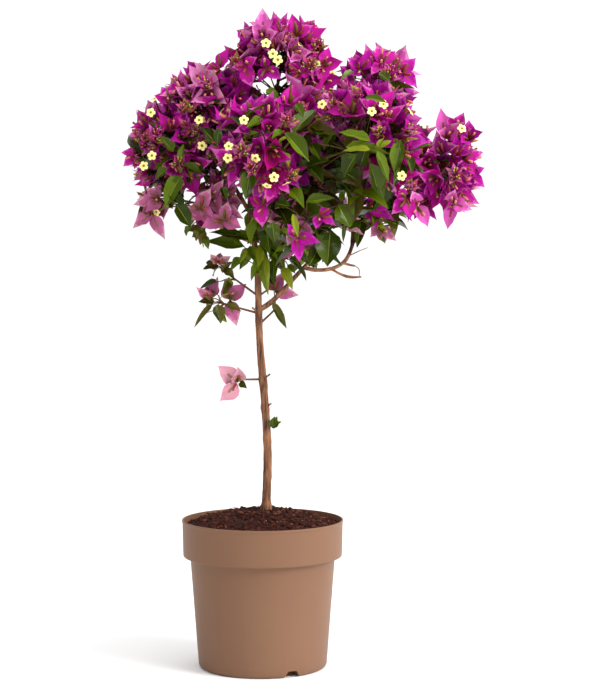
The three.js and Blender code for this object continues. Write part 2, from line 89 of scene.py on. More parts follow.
# name: (centre, radii, sprays, share that flowers, size, look, place on the trunk)
MASSES = {
    "crown_top": ((19, 0, 626), (67, 66, 65), 75, 1.0, 1, "fresh", None),
    "crown_upper_left": ((-52, 0, 592), (62, 68, 49), 57, 1.0, 1, "fresh", None),
    "crown_upper_right": ((122, -4, 601), (53, 66, 58), 56, 1.0, 1, "fresh", None),
    "crown_far_right": ((183, 0, 522), (53, 68, 67), 78, 1.0, 1, "fresh", None),
    "crown_left": ((-90, 0, 546), (60, 70, 60), 72, 0.92, 1, "fresh", None),
    "crown_lower_left": ((-72, -2, 488), (69, 68, 44), 42, 0.9, 1, "mixed", None),
    "crown_front": ((14, -76, 552), (76, 72, 74), 82, 0.92, 1, "fresh", None),
    "crown_back": ((14, 78, 554), (76, 72, 74), 75, 0.88, 1, "fresh", None),
    "crown_right_front": ((104, -70, 546), (72, 68, 72), 72, 0.88, 1, "fresh", None),
    "crown_right_back": ((106, 74, 548), (72, 68, 72), 72, 0.88, 1, "fresh", None),
    "crown_lower_right": ((120, -6, 476), (40, 44, 38), 14, 0.6, 0.9, "mixed", None),
    "crown_lower_front": ((46, -46, 470), (80, 66, 54), 16, 0.5, 1, "mixed", None),
    "crown_lower_back": ((44, 58, 472), (80, 66, 54), 26, 0.5, 1, "mixed", None),
    "crown_under": ((22, -12, 428), (46, 44, 42), 2, 0.0, 0.9, "mixed", (-5, 0, 406)),
    "shoot_left_upper": ((-38, -4, 415), (34, 30, 30), 3, 0.3, 0.7, "faded", (-4, 0, 390)),
    "shoot_left_lower": ((-40, -2, 382), (38, 30, 32), 3, 0.5, 0.7, "faded", (-3, 0, 372)),
    "shoot_fork": ((14, -5, 377), (20, 20, 24), 1, 0.0, 0.6, "faded", (-2, 0, 362)),
    "spray_on_stem": ((-27, -4, 303), (26, 26, 26), 0, 1.0, 0.7, "faded", (2, 0, 303)),
    "bud_on_stem": ((14, -2, 259), (13, 13, 13), 0, 0.0, 0.3, "faded", (4, 0, 256)),
}
BOUGH_ENTRY = 0.62

# The eye of the front view, which the openings in the crown are named from.
EYE = Vector((39.36, -2000, 450.21))
# Where that view shows sky through the crown: (x, z, half width, half height) on y = 0.
OPENINGS = [
    (11, 613, 13, 7), (-17, 606, 9, 5), (-40, 551, 4, 3), (179, 570, 5, 14), (171, 597, 4, 9),
    (180, 470, 4, 7), (-94, 462, 7, 8), (-6, 514, 4, 4), (-78, 502, 5, 4),
    (53, 473, 5, 8), (106, 488, 6, 9), (-3, 464, 4, 6), (88, 447, 8, 14), (30, 438, 6, 6), (78, 456, 8, 4),
]
OPENING_MARGIN = 2
# The shaded hollow in the crown's front, lined with leaves: centre and radii.
HOLLOW = (Vector((73, -128, 521)), (27, 78, 40))
HOLLOW_MASS, HOLLOW_LEAVES = "crown_right_front", 40

# Leaves that show by themselves, by the mass that bears them: (x, y, z of the foot,
# x, y, z of the tip, width, tone).
# Their tones paint light and shade besides the leaves' own greens: brighter where a leaf is lit, deeper
# where it hangs in shade.
LONE_LEAVES = {
    "crown_under": [
        (-9, -14, 450, -34, -22, 455, 12, "bright"), (-18, -12, 442, -60, -20, 449, 14, "bright"),
        (-13, -16, 443, -3, -26, 423, 10, "bright"), (0, -18, 441, 5, -30, 393, 11, "young"),
        (0, -16, 424, -12, -24, 410, 10, "bright"), (-3, -20, 446, 25, -30, 436, 13, "bright"),
        (13, -18, 430, 11, -26, 404, 9, "mid"), (21, -14, 421, 32, -24, 399, 10, "young"),
        (30, -12, 432, 38, -18, 421, 8, "bright"), (26, -8, 423, 35, -10, 415, 7, "bright"),
        (-22, -12, 431, -33, -18, 419, 8, "bright"), (-16, -16, 439, -23, -20, 426, 6, "young"),
        (-12, 14, 440, -24, 30, 420, 12, "mid"), (8, 18, 436, 24, 34, 416, 13, "deep"),
        (0, 16, 426, -6, 30, 400, 12, "deep"), (2, -20, 444, -4, -32, 421, 9, "young"),
        (4, -20, 440, 20, -32, 436, 8, "bright"), (8, -22, 436, 22, -32, 424, 8, "bright"),
        (1, -22, 438, -12, -34, 408, 8, "bright"), (-4, -18, 452, -15, -30, 446, 8, "bright"),
        (12, -20, 446, 20, -30, 461, 9, "bright"),
    ],
    "shoot_left_upper": [
        (-45, -4, 422, -62, -10, 419, 9, "shaded"), (-43, -4, 416, -31, -8, 427, 8, "bronze"),
        (-40, -6, 418, -29, -12, 411, 9, "bronze"), (-51, 0, 424, -60, 6, 426, 7, "bronze"),
        (-32, -6, 407, -40, -12, 393, 9, "bronze"), (-46, 4, 420, -56, 20, 412, 9, "bronze"),
    ],
    "shoot_left_lower": [
        (-51, -4, 383, -65, -12, 387, 9, "shaded"), (-52, -2, 382, -73, -8, 360, 6, "bronze"),
        (-47, -8, 382, -43, -12, 362, 12, "bronze"), (-38, -6, 381, -22, -12, 377, 7, "bronze"),
        (-50, 4, 384, -60, 22, 378, 9, "bronze"),
    ],
    "shoot_fork": [(10, -8, 384, 26, -12, 357, 8, "bronze")],
    "spray_on_stem": [(-25, -6, 299, -16, -9, 295, 7, "shaded"), (-24, -6, 301, -17, -8, 305, 4, "deep")],
    "bud_on_stem": [
        (10, -3, 252, 15, -6, 264, 9, "bright"), (10, -5, 252, 19, -7, 260, 8, "bright"),
        (10, -6, 253, 12, -10, 264, 7, "mid"),
    ],
    "crown_lower_front": [
        (70, -60, 458, 67, -64, 422, 24, "deep"), (42, -30, 450, 48, -34, 425, 17, "deep"),
        (77, -96, 484, 90, -98, 462, 20, "mid"), (61, -10, 466, 87, -12, 443, 4, "deep"),
        (29, -96, 499, 44, -108, 483, 12, "bright"), (45, -104, 486, 74, -102, 493, 10, "mid"),
        (32, -104, 475, 38, -106, 452, 6, "young"), (12, -98, 467, 14, -98, 446, 13, "mid"),
        (16, -98, 485, 29, -105, 483, 15, "deep"), (84, -96, 467, 82, -94, 446, 4, "deep"),
    ],
    "crown_lower_right": [
        (103, -8, 473, 99, -14, 441, 11, "deep"), (117, -8, 468, 128, -12, 446, 8, "mid"),
    ],
    "crown_front": [
        (24, -138, 553, 50, -140, 526, 15, "mid"), (-9, -124, 518, -14, -128, 489, 14, "deep"),
        (4, -140, 566, -13, -142, 558, 9, "mid"), (23, -142, 554, 12, -146, 547, 8, "mid"),
        (35, -135, 581, 43, -139, 568, 8, "mid"), (-40, -123, 558, -42, -122, 542, 8, "deep"),
    ],
    "crown_left": [
        (-81, -60, 514, -99, -66, 484, 17, "mid"), (-89, -64, 538, -101, -68, 554, 10, "mid"),
        (-81, -62, 531, -79, -68, 545, 7, "bright"), (-79, -60, 526, -58, -56, 514, 9, "mid"),
        (-95, -59, 522, -108, -55, 510, 9, "mid"),
    ],
    "crown_lower_left": [
        (-86, -64, 485, -71, -60, 462, 15, "deep"), (-40, -54, 503, -35, -57, 489, 8, "mid"),
        (-72, -50, 463, -79, -46, 453, 7, "mid"), (-70, -46, 459, -65, -36, 447, 7, "bronze"),
        (-66, -36, 452, -57, -22, 443, 5, "bronze"), (-58, -36, 461, -72, -38, 452, 8, "bright"),
        (-58, -36, 459, -64, -38, 444, 8, "bronze"), (-60, -34, 454, -54, -36, 440, 7, "mid"),
        (-62, -30, 460, -78, -32, 459, 8, "bronze"), (-17, -30, 452, -54, -36, 458, 11, "mid"),
        (-78, -60, 484, -94, -62, 496, 10, "deep"),
    ],
    "crown_right_front": [
        (84, -116, 540, 128, -120, 536, 12, "bright"), (111, -112, 523, 122, -116, 488, 14, "mid"),
        (138, -126, 547, 130, -124, 514, 13, "mid"), (108, -133, 537, 81, -134, 539, 7, "young"),
        (108, -133, 545, 77, -132, 555, 10, "bright"), (114, -134, 536, 128, -126, 505, 9, "bright"),
        (115, -134, 539, 120, -138, 548, 5, "young"), (117, -134, 539, 128, -136, 546, 6, "young"),
        (95, -126, 533, 80, -116, 511, 15, "mid"), (107, -128, 524, 120, -112, 491, 15, "mid"),
        (103, -122, 588, 125, -126, 585, 8, "mid"), (93, -78, 617, 80, -89, 611, 6, "mid"),
    ],
    "crown_upper_right": [(119, -63, 617, 131, -68, 608, 8, "mid")],
    "crown_top": [(5, -54, 601, 19, -58, 591, 10, "bright")],
}

# Open flowers and clusters in bud that show by themselves, as (x, z) on the mass's front.
LONE_STARS = {
    "crown_top": [(5, 647), (12, 636), (17, 630), (72, 618), (70, 601)],
    "crown_front": [(-15, 565), (-30, 540), (-31, 529), (14, 510)],
    "crown_left": [(-63, 570), (-60, 544), (-112, 578), (-119, 524), (-110, 534)],
    "crown_right_front": [(139, 512), (109, 574), (61, 582)],
    "crown_far_right": [(204, 562)],
}
LONE_BUDS = {
    "crown_top": [(24, 663), (-26, 633), (58, 652), (49, 629)],
    "crown_front": [(27, 567), (34, 514), (-9, 522), (-19, 539)],
    "crown_left": [(-82, 530), (-50, 540), (-107, 558)],
    "crown_upper_left": [(-79, 586), (-56, 610)],
    "crown_right_front": [(148, 561), (95, 598), (154, 505), (117, 559)],
    "crown_upper_right": [(132, 620)],
    "crown_far_right": [(205, 489), (196, 520)],
}

# Threes of bracts that show by themselves: (foot, tip, tip, tip, width, tone).
# Some tones paint shade, such as the darker purple threes low on the crown's front.
LONE_BRACTS = {
    "shoot_left_upper": [((-46, -4, 424), (-54, -6, 434), (-33, -6, 432), (-44, 6, 436), 9, "pale")],
    "shoot_left_lower": [
        ((-52, -4, 388), (-69, -8, 399), (-47, -4, 411), (-58, 8, 404), 11, "aged"),
        ((-35, 6, 386), (-17, 2, 403), (-27, 0, 359), (-40, 4, 404), 17, "aged"),
    ],
    "shoot_fork": [((12, 12, 395), (38, 8, 391), (23, 10, 416), (4, 16, 414), 14, "aged")],
    "spray_on_stem": [((-26, -8, 300), (-46, -13, 318), (-44, -13, 281), (-25, -22, 317), 20, "pale")],
    "crown_lower_left": [
        ((-105, -24, 491), (-132, -30, 486), (-118, -34, 502), (-119, -34, 478), 15, "aged"),
        ((-114, -20, 476), (-133, -24, 461), (-100, -28, 450), (-122, -30, 485), 14, "aged"),
        ((-62, -52, 481), (-77, -60, 476), (-49, -60, 472), (-52, -56, 501), 22, "aged"),
        ((-38, -50, 469), (-60, -60, 463), (-20, -60, 461), (-34, -50, 488), 22, "aged"),
    ],
    "crown_front": [
        ((12, -104, 510), (2, -108, 529), (29, -114, 497), (8, -110, 487), 20, "magenta"),
        ((1, -90, 484), (2, -98, 462), (-13, -96, 491), (18, -98, 494), 20, "magenta"),
    ],
    "crown_lower_right": [
        ((108, -26, 484), (127, -28, 494), (137, -36, 470), (119, -34, 462), 15, "purple"),
        ((121, -14, 463), (139, -18, 448), (128, -4, 446), (112, -20, 452), 12, "aged"),
    ],
    "crown_lower_front": [
        ((33, -36, 442), (63, -44, 445), (29, -50, 455), (22, -40, 430), 10, "aged"),
        ((35, -44, 463), (27, -52, 444), (54, -54, 456), (39, -56, 476), 17, "aged"),
        ((58, -100, 474), (55, -104, 460), (74, -104, 463), (71, -106, 478), 12, "purple"),
        ((36, -90, 452), (27, -94, 465), (60, -96, 446), (39, -90, 427), 13, "purple"),
    ],
    "crown_top": [
        ((2, -44, 654), (1, -40, 686), (-8, -66, 668), (16, -66, 658), 17, "bright"),
        ((79, -45, 601), (87, -48, 615), (91, -48, 594), (71, -50, 589), 14, "magenta"),
        ((-17, -45, 626), (-29, -50, 624), (-9, -50, 604), (-4, -50, 634), 17, "magenta"),
        ((5, -50, 623), (20, -54, 612), (-2, -54, 609), (2, -56, 636), 16, "purple"),
        ((39, -50, 619), (28, -54, 629), (34, -54, 605), (53, -54, 617), 15, "magenta"),
        ((62, -42, 626), (83, -48, 630), (69, -40, 645), (62, -54, 606), 15, "magenta"),
        ((60, -40, 610), (84, -46, 613), (62, -50, 590), (50, -54, 622), 15, "magenta"),
        ((36, -30, 656), (31, -28, 681), (52, -34, 669), (24, -44, 648), 15, "magenta"),
    ],
    "crown_upper_right": [
        ((101, -40, 622), (88, -44, 634), (109, -44, 641), (91, -46, 617), 15, "purple"),
        ((122, -36, 628), (119, -30, 649), (137, -34, 642), (112, -46, 618), 14, "magenta"),
        ((143, -32, 620), (158, -32, 635), (160, -32, 606), (136, -44, 612), 14, "purple"),
    ],
    "crown_upper_left": [
        ((-43, -30, 624), (-60, -34, 622), (-35, -34, 645), (-50, -44, 602), 15, "magenta"),
        ((-94, -30, 592), (-110, -30, 597), (-103, -26, 607), (-88, -30, 613), 13, "magenta"),
    ],
    "crown_far_right": [
        ((189, -20, 553), (185, -16, 586), (179, -44, 559), (205, -40, 569), 16, "bright"),
        ((213, -20, 552), (214, -16, 573), (226, -34, 560), (204, -44, 548), 14, "purple"),
        ((201, -20, 563), (208, -24, 580), (191, -28, 575), (215, -30, 563), 13, "magenta"),
        ((195, -50, 486), (189, -54, 460), (213, -58, 480), (196, -66, 500), 15, "bright"),
        ((158, -50, 484), (170, -54, 463), (147, -58, 474), (153, -66, 498), 16, "bright"),
        ((206, -24, 533), (228, -24, 539), (215, -28, 550), (219, -28, 516), 15, "magenta"),
        ((214, -14, 516), (231, -16, 504), (230, -16, 524), (213, -20, 498), 14, "purple"),
    ],
    "crown_right_front": [
        ((147, -60, 492), (132, -64, 475), (151, -64, 470), (134, -68, 500), 15, "magenta"),
    ],
    "crown_left": [((-129, -20, 537), (-145, -20, 540), (-143, -22, 525), (-131, -26, 522), 12, "magenta")],
}

# Bare twigs finer than the solids: (radius at the root, at the tip, points).
BARE_TWIGS = [
    (0.9, 0.5, [(72, -8, 418), (84, -9, 413), (94, -10, 411), (103, -10, 411)]),
    (0.6, 0.35, [(90, -5, 432), (100, -6, 437), (110, -6, 441)]),
    (0.5, 0.3, [(97, -7, 422), (101, -7, 418), (101, -8, 410)]),
    (1.0, 0.5, [(50, -12, 430), (58, -14, 437), (63, -15, 443), (62, -15, 446)]),
]

# ---------------------------------------------------------------- materials


# Bumps: (scale, height in metres, strength).
BLADE_CRINKLE = (420, 0.0003, 1)
BARK_GRAIN = (900, 0.0004, 1)
PEAT_GRIT = (700, 0.0008, 1)
MOULD_GRAIN = (700, 0.00012, 0.5)
MOTTLE_SPAN = (0.3, 0.7)  # of the grain, between one tone and the other


def linear(rgb):
    """A colour given in sRGB, with 255 as full, in linear light."""
    shares = [byte / 255 for byte in rgb]
    return (*(s / 12.92 if s <= 0.04045 else ((s + 0.055) / 1.055) ** 2.4 for s in shares), 1.0)


def add_node(tree, kind, **values):
    node = tree.nodes.new("ShaderNode" + kind)
    for name, value in values.items():
        node.inputs[name].default_value = value
    return node


def grain(tree, scale, detail, upright=1):
    """A noise in the object's own space; below 1, upright draws it out up the stem."""
    place = add_node(tree, "TexCoord").outputs["Object"]
    if upright != 1:
        drawn = add_node(tree, "Mapping", Scale=(1, 1, upright))
        tree.links.new(place, drawn.inputs["Vector"])
        place = drawn.outputs["Vector"]
    cloud = add_node(tree, "TexNoise", Scale=scale, Detail=detail)
    tree.links.new(place, cloud.inputs["Vector"])
    return cloud.outputs["Fac"]


def surface(name, rough, gloss, tones, relief=None, mottle=None):
    """A material of one tone, or mottled between two.

    relief is one of the bumps above; mottle is what its grain takes.
    """
    material = bpy.data.materials.new(name)
    material.use_nodes = True
    tree = material.node_tree
    inputs = tree.nodes["Principled BSDF"].inputs
    inputs["Roughness"].default_value = rough
    inputs["Specular IOR Level"].default_value = gloss
    if mottle:
        ramp = add_node(tree, "ValToRGB")
        for element, place, tone in zip(ramp.color_ramp.elements, MOTTLE_SPAN, tones):
            element.position, element.color = place, linear(tone)
        tree.links.new(grain(tree, *mottle), ramp.inputs["Fac"])
        tree.links.new(ramp.outputs["Color"], inputs["Base Color"])
    else:
        inputs["Base Color"].default_value = linear(tones[0])
    if relief:
        scale, height, strength = relief
        bump = add_node(tree, "Bump", Strength=strength, Distance=height)
        tree.links.new(grain(tree, scale, 5), bump.inputs["Height"])
        tree.links.new(bump.outputs["Normal"], inputs["Normal"])
    return material


def blades(prefix, table):
    """Living blades of one plain colour each: (colour, roughness, gloss) by name."""
    return {name: surface(prefix + name, rough, gloss, [colour], BLADE_CRINKLE)
            for name, (colour, rough, gloss) in table.items()}


def woods(prefix, table):
    """Bark between two tones: (dark, light, the grain's scale, its draw up the stem)."""
    return {name: surface(prefix + name, 0.85, 0.2, [dark, light], BARK_GRAIN, (scale, 7, upright))
            for name, (dark, light, scale, upright) in table.items()}


BRACT_TONES = blades("bract_", {
    "magenta": ((175, 25, 137), 0.6, 0.05),
    "purple": ((162, 20, 136), 0.6, 0.05),
    "bright": ((188, 80, 156), 0.6, 0.05),
    "deep": ((154, 12, 98), 0.6, 0.05),
    "aged": ((182, 95, 141), 0.65, 0.1),
    "young": ((168, 64, 112), 0.6, 0.1),
    "pale": ((196, 138, 154), 0.65, 0.1),
    "unripe": ((144, 106, 60), 0.6, 0.15),
    # foot and foot_pale are the ribs' own colour, and painted shade where they lie at a bract's heart
    "foot": ((132, 52, 58), 0.6, 0.15),
    "foot_pale": ((142, 108, 84), 0.65, 0.15),
    "light": ((204, 122, 172), 0.6, 0.08),
    "violet": ((170, 52, 152), 0.6, 0.05),
})
LEAF_TONES = blades("leaf_", {
    "deep": ((40, 54, 0), 0.26, 0.14),
    "mid": ((58, 74, 0), 0.26, 0.15),
    "bright": ((82, 101, 4), 0.26, 0.16),
    "young": ((118, 126, 20), 0.3, 0.16),
    "rib": ((100, 110, 34), 0.3, 0.16),
    "shaded": ((56, 48, 8), 0.3, 0.1),
    "bronze": ((82, 76, 22), 0.3, 0.12),
})
FLOWER_TONES = blades("", {
    "tube_rose": ((138, 62, 52), 0.6, 0.15),
    "tube_olive": ((110, 82, 36), 0.6, 0.15),
    "star_cream": ((240, 228, 150), 0.6, 0.1),
    "star_throat": ((124, 118, 28), 0.6, 0.15),
    "bud_tip": ((200, 126, 108), 0.6, 0.15),
    "tube_young": ((146, 132, 50), 0.6, 0.15),
    "tip_young": ((186, 166, 90), 0.6, 0.15),
    "star_gold": ((240, 224, 132), 0.6, 0.15),
})
WOOD_TONES = woods("bark_", {
    "trunk": ((54, 26, 18), (156, 110, 80), 420, 0.12),
    "bough": ((104, 64, 46), (160, 112, 82), 180, 1),
    "shaded": ((46, 26, 20), (84, 52, 40), 180, 1),
})
TWIG_TONES = woods("twig_", {
    "green": ((76, 58, 30), (106, 84, 46), 180, 1),
    "brown": ((84, 50, 40), (120, 78, 60), 180, 1),
})
PEAT_TONES = {
    name: surface(name, 0.95, 0.2, tones, PEAT_GRIT, (260, 4))
    for name, *tones in (
        ("peat_dark", (32, 12, 7), (58, 23, 14)), ("peat_mid", (54, 22, 14), (86, 38, 26)),
        ("peat_light", (92, 50, 36), (116, 68, 48)), ("grain", (150, 112, 62), (186, 150, 92)))
}
POT_PLASTIC = surface("pot_plastic", 0.5, 0.2, [(118, 85, 64), (126, 92, 70)], MOULD_GRAIN, (6, 4))


# ---------------------------------------------------------------- making meshes


def add_object(name, data):
    thing = bpy.data.objects.new(name, data)
    bpy.context.scene.collection.objects.link(thing)
    return thing


def make_piece(name, points, faces, materials=()):
    """An object from points in millimetres."""
    mesh = bpy.data.meshes.new(name)
    mesh.from_pydata((np.array(points) * MM).tolist(), [], faces)
    for material in materials:
        mesh.materials.append(material)
    return add_object(name, mesh)


def smooth(mesh, is_smooth=True):
    mesh.polygons.foreach_set("use_smooth", [is_smooth] * len(mesh.polygons))


def dress(piece, slot, *nodes):
    """Lets a piece ride on the plant and stand for CAD nodes."""
    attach(piece, "root")
    if nodes:
        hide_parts(*nodes)


class Heap:
    """Many small meshes of one kind, joined into one piece. A tone is a name in its palette."""

    def __init__(self, palette):
        self.palette = palette
        self.points, self.faces, self.tones, self.count = [], [], [], 0

    def add(self, points, faces, tones):
        """points: an (n, 3) array; faces: tuples of indices; tones: one, or one for each face."""
        self.points.append(points)
        self.faces.extend(tuple(i + self.count for i in face) for face in faces)
        self.tones.extend([tones] * len(faces) if isinstance(tones, str) else tones)
        self.count += len(points)

    def piece(self, name, is_smooth=True):
        piece = make_piece(name, np.concatenate(self.points), self.faces, self.palette.values())
        place = {tone: index for index, tone in enumerate(self.palette)}
        piece.data.polygons.foreach_set("material_index", [place[tone] for tone in self.tones])
        smooth(piece.data, is_smooth)
        piece.data.update()
        return piece


def square_to(direction, angle):
    reference = UP if abs(direction.z) < 0.9 else RIGHT
    first = direction.cross(reference).normalized()
    second = direction.cross(first)
    return first * math.cos(angle) + second * math.sin(angle)


def leaning(axis, side, angle):
    """A way that leans from an axis to its side."""
    return axis * math.cos(angle) + side * math.sin(angle)


def polar(radius, angle):
    return radius * math.cos(angle), radius * math.sin(angle)


def ring(radius, height, sides):
    return [(*polar(radius, TURN * j / sides), height) for j in range(sides)]


def band(low, high, sides):
    """The faces between two rings of points, each given by its first point."""
    return [(low + j, low + (j + 1) % sides, high + (j + 1) % sides, high + j) for j in range(sides)]


class Line:
    """A smooth line through points, by Catmull-Rom spans."""

    def __init__(self, points, samples=12):
        points = [Vector(point) for point in points]
        ends = [points[0] * 2 - points[1], *points, points[-1] * 2 - points[-2]]
        self.path = [points[0]]
        for a, b, c, d in zip(ends, ends[1:], ends[2:], ends[3:]):
            for k in range(1, samples + 1):
                t = k / samples
                self.path.append(0.5 * (
                    2 * b + (c - a) * t + (2 * a - 5 * b + 4 * c - d) * t ** 2
                    + (3 * b - a - 3 * c + d) * t ** 3))
        steps = [0.0]
        for a, b in zip(self.path, self.path[1:]):
            steps.append(steps[-1] + (b - a).length)
        self.length = steps[-1]
        self.shares = [step / self.length for step in steps]

    def at(self, share):
        share = min(max(share, 0.0), 1.0)
        for i in range(1, len(self.shares)):
            if share <= self.shares[i] or i == len(self.shares) - 1:
                span = self.shares[i] - self.shares[i - 1]
                return self.path[i - 1].lerp(self.path[i], (share - self.shares[i - 1]) / span)

    def heading(self, share):
        return (self.at(share + 0.02) - self.at(share - 0.02)).normalized()


def taper(first, last):
    return lambda share: first + (last - first) * share


def tube(heap, line, radius_at, sides, rings, tone, relief=None):
    """A tube along a line; relief(angle, millimetres along) swells its radius.

    tone is one tone, or a list of one for each band of faces and one for the end.
    """
    normal = square_to(line.heading(0), 0)
    points = []
    for i in range(rings + 1):
        share = i / rings
        centre, heading = line.at(share), line.heading(share)
        normal = (normal - heading * normal.dot(heading)).normalized()
        side = heading.cross(normal)
        for j in range(sides):
            angle = TURN * j / sides
            swell = relief(angle, share * line.length) if relief else 1
            points.append(centre + leaning(normal, side, angle) * (radius_at(share) * swell))
    points.append(line.at(1) + line.heading(1) * radius_at(1) * 0.5)
    last = rings * sides
    faces = [face for i in range(rings) for face in band(i * sides, (i + 1) * sides, sides)]
    faces.extend((last + j, last + (j + 1) % sides, last + sides) for j in range(sides))
    faces.append(tuple(range(sides - 1, -1, -1)))
    if isinstance(tone, list):
        tone = [hue for hue in tone for _ in range(sides)] + tone[:1]
    heap.add(np.array(points), faces, tone)


# ---------------------------------------------------------------- blades


class BladeShape:
    """The grid of a kind of blade, and the faces between its points.

    The faces of the middle strip up to rib_rows are its rib, those at its foot its heart,
    those of the outer strips and the tip from edge_row on its edge, and the rest its blade
    or, on one side of the rib, its left.
    """

    def __init__(self, rows, across, root_power, rib_rows=0, edge_row=math.inf):
        self.root_power = root_power
        grid = [(0, 0), *((i, v) for i in range(1, rows) for v in across), (rows, 0)]
        self.row = np.array([i for i, _ in grid])
        self.u = self.row / rows
        self.v = np.array([float(v) for _, v in grid])
        self.faces, self.kinds = [], []
        width, tip = len(across), len(grid) - 1
        for j in range(width - 1):
            starts = [1 + i * width + j for i in range(rows - 1)]
            self.faces.append((0, 1 + j, 2 + j))
            self.faces.extend((here, here + width, here + width + 1, here + 1) for here in starts[:-1])
            self.faces.append((starts[-1], tip, starts[-1] + 1))
            inset = 0 if j in (0, width - 2) else 1
            for i in range(rows):
                if 2 * j == width - 2 and i < rib_rows:
                    kind = "rib"
                elif i >= edge_row + 2 * inset:
                    kind = "edge"
                elif i < 1 + inset:
                    kind = "heart"
                else:
                    kind = "left" if 2 * j < width - 2 else "blade"
                self.kinds.append(kind)


BRACT = BladeShape(8, [-1, -0.6, -0.15, 0.15, 0.6, 1], 0.84, rib_rows=4, edge_row=4)
BUD_BRACT = BladeShape(5, [-1, 0, 1], 0.84, edge_row=2)
LEAF = BladeShape(8, [-1, -0.55, -0.05, 0.05, 0.55, 1], 0.7, rib_rows=7)


def blade_points(shape, length, width, rng, widest, fold, curl, wave, vein):
    """One blade along +X with its upper face to +Z, never twice the same."""
    a = shape.root_power
    b = a * (1 - widest) / widest
    sweep = 0.09 * np.abs(shape.v) * np.sin(math.pi * shape.u)
    u = np.clip(shape.u + sweep, 0, 1)
    profile = u ** a * (1 - u) ** b / (widest ** a * (1 - widest) ** b)
    y = shape.v * profile * width / 2
    phase, turns = rng.uniform(0, TURN), rng.uniform(1.2, 2.2)
    edge = np.abs(shape.v) ** 2 * np.where(shape.v < 0, -1, 1)
    z = fold * np.abs(y)
    z -= curl * length * u ** 2
    z += wave * width * edge * np.sin(turns * TURN * u + phase) * profile
    z += vein * np.where(shape.row % 2 == 0, 1, -1) * np.minimum(1, 3 * np.abs(shape.v)) * profile
    twist = rng.uniform(-0.25, 0.25) * u
    turned_y = y * np.cos(twist) - z * np.sin(twist)
    turned_z = y * np.sin(twist) + z * np.cos(twist)
    return np.stack([u * length, turned_y, turned_z], axis=1)


def stand(points, root, direction, face):
    """Turns points from +X and +Z to direction and face, and moves them to root."""
    direction = direction.normalized()
    side = face.cross(direction)
    if side.length < 1e-4:
        side = square_to(direction, 0)
    side.normalize()
    turn = np.array([direction, side, direction.cross(side)])
    return points @ turn + np.array(root)


def add_blade(heap, shape, points, tone, **other_tones):
    """other_tones name the tones of the shape's other kinds of face, such as rib."""
    heap.add(points, shape.faces, [other_tones.get(kind, tone) for kind in shape.kinds])


def facing(way, axis):
    """The part of the axis that is square to a way."""
    return axis - way * axis.dot(way)


# ---------------------------------------------------------------- pot


BAND_FOOT = POT["height"] - POT["band"]


def body_radius(height):
    return POT["foot"] + (POT["shoulder"] - POT["foot"]) * (height / BAND_FOOT)


def band_radius(height):
    return POT["band_foot"] + (POT["rim"] - POT["band_foot"]) * ((height - BAND_FOOT) / POT["band"])


def lathe(profile, sides):
    """Points and faces of a closed form whose profile starts and ends on the axis."""
    points = [(0, 0, profile[0][1])]
    for radius, height in profile[1:-1]:
        points += ring(radius, height, sides)
    points.append((0, 0, profile[-1][1]))
    last, end = len(points) - 1 - sides, len(points) - 1
    faces = [(0, 1 + (j + 1) % sides, 1 + j) for j in range(sides)]
    for low in range(1, last, sides):
        faces += band(low, low + sides, sides)
    faces += [(last + j, last + (j + 1) % sides, end) for j in range(sides)]
    return points, faces


def spaced(start, end, count):
    """Profile points between two others, without the first."""
    return [tuple(a + (b - a) * i / count for a, b in zip(start, end)) for i in range(1, count + 1)]


def notch_bar(index):
    """The bar that cuts one drain notch out of the pot's foot."""
    inner, outer = POT["foot"] - NOTCH["depth"], POT["foot"] + 4
    foot, top, height = NOTCH["foot"] / 2, NOTCH["top"] / 2, NOTCH["height"]
    outline = [(-foot, -2), (foot, -2), (foot, 0), (top, height), (-top, height), (-foot, 0)]
    turn = Matrix.Rotation(NOTCH["angle"] + TURN * index / NOTCH["count"], 3, "Z")
    points = [turn @ Vector((r, y, z)) for r in (inner, outer) for y, z in outline]
    return points, [*band(0, 6, 6), (5, 4, 3, 2, 1, 0), (6, 7, 8, 9, 10, 11)]


def cut(piece, tools):
    """Cuts the tools out of a piece and leaves a plain mesh."""
    for tool in tools:
        modifier = piece.modifiers.new("cut", "BOOLEAN")
        modifier.object, modifier.operation, modifier.solver = tool, "DIFFERENCE", "EXACT"
    bpy.context.view_layer.update()
    seen = piece.evaluated_get(bpy.context.evaluated_depsgraph_get())
    mesh = bpy.data.meshes.new_from_object(seen)
    piece.modifiers.clear()
    piece.data = mesh
    for tool in tools:
        bpy.data.objects.remove(tool)


def make_normals_outward(mesh):
    work = bmesh.new()
    work.from_mesh(mesh)
    bmesh.ops.recalc_face_normals(work, faces=work.faces)
    work.to_mesh(mesh)
    work.free()


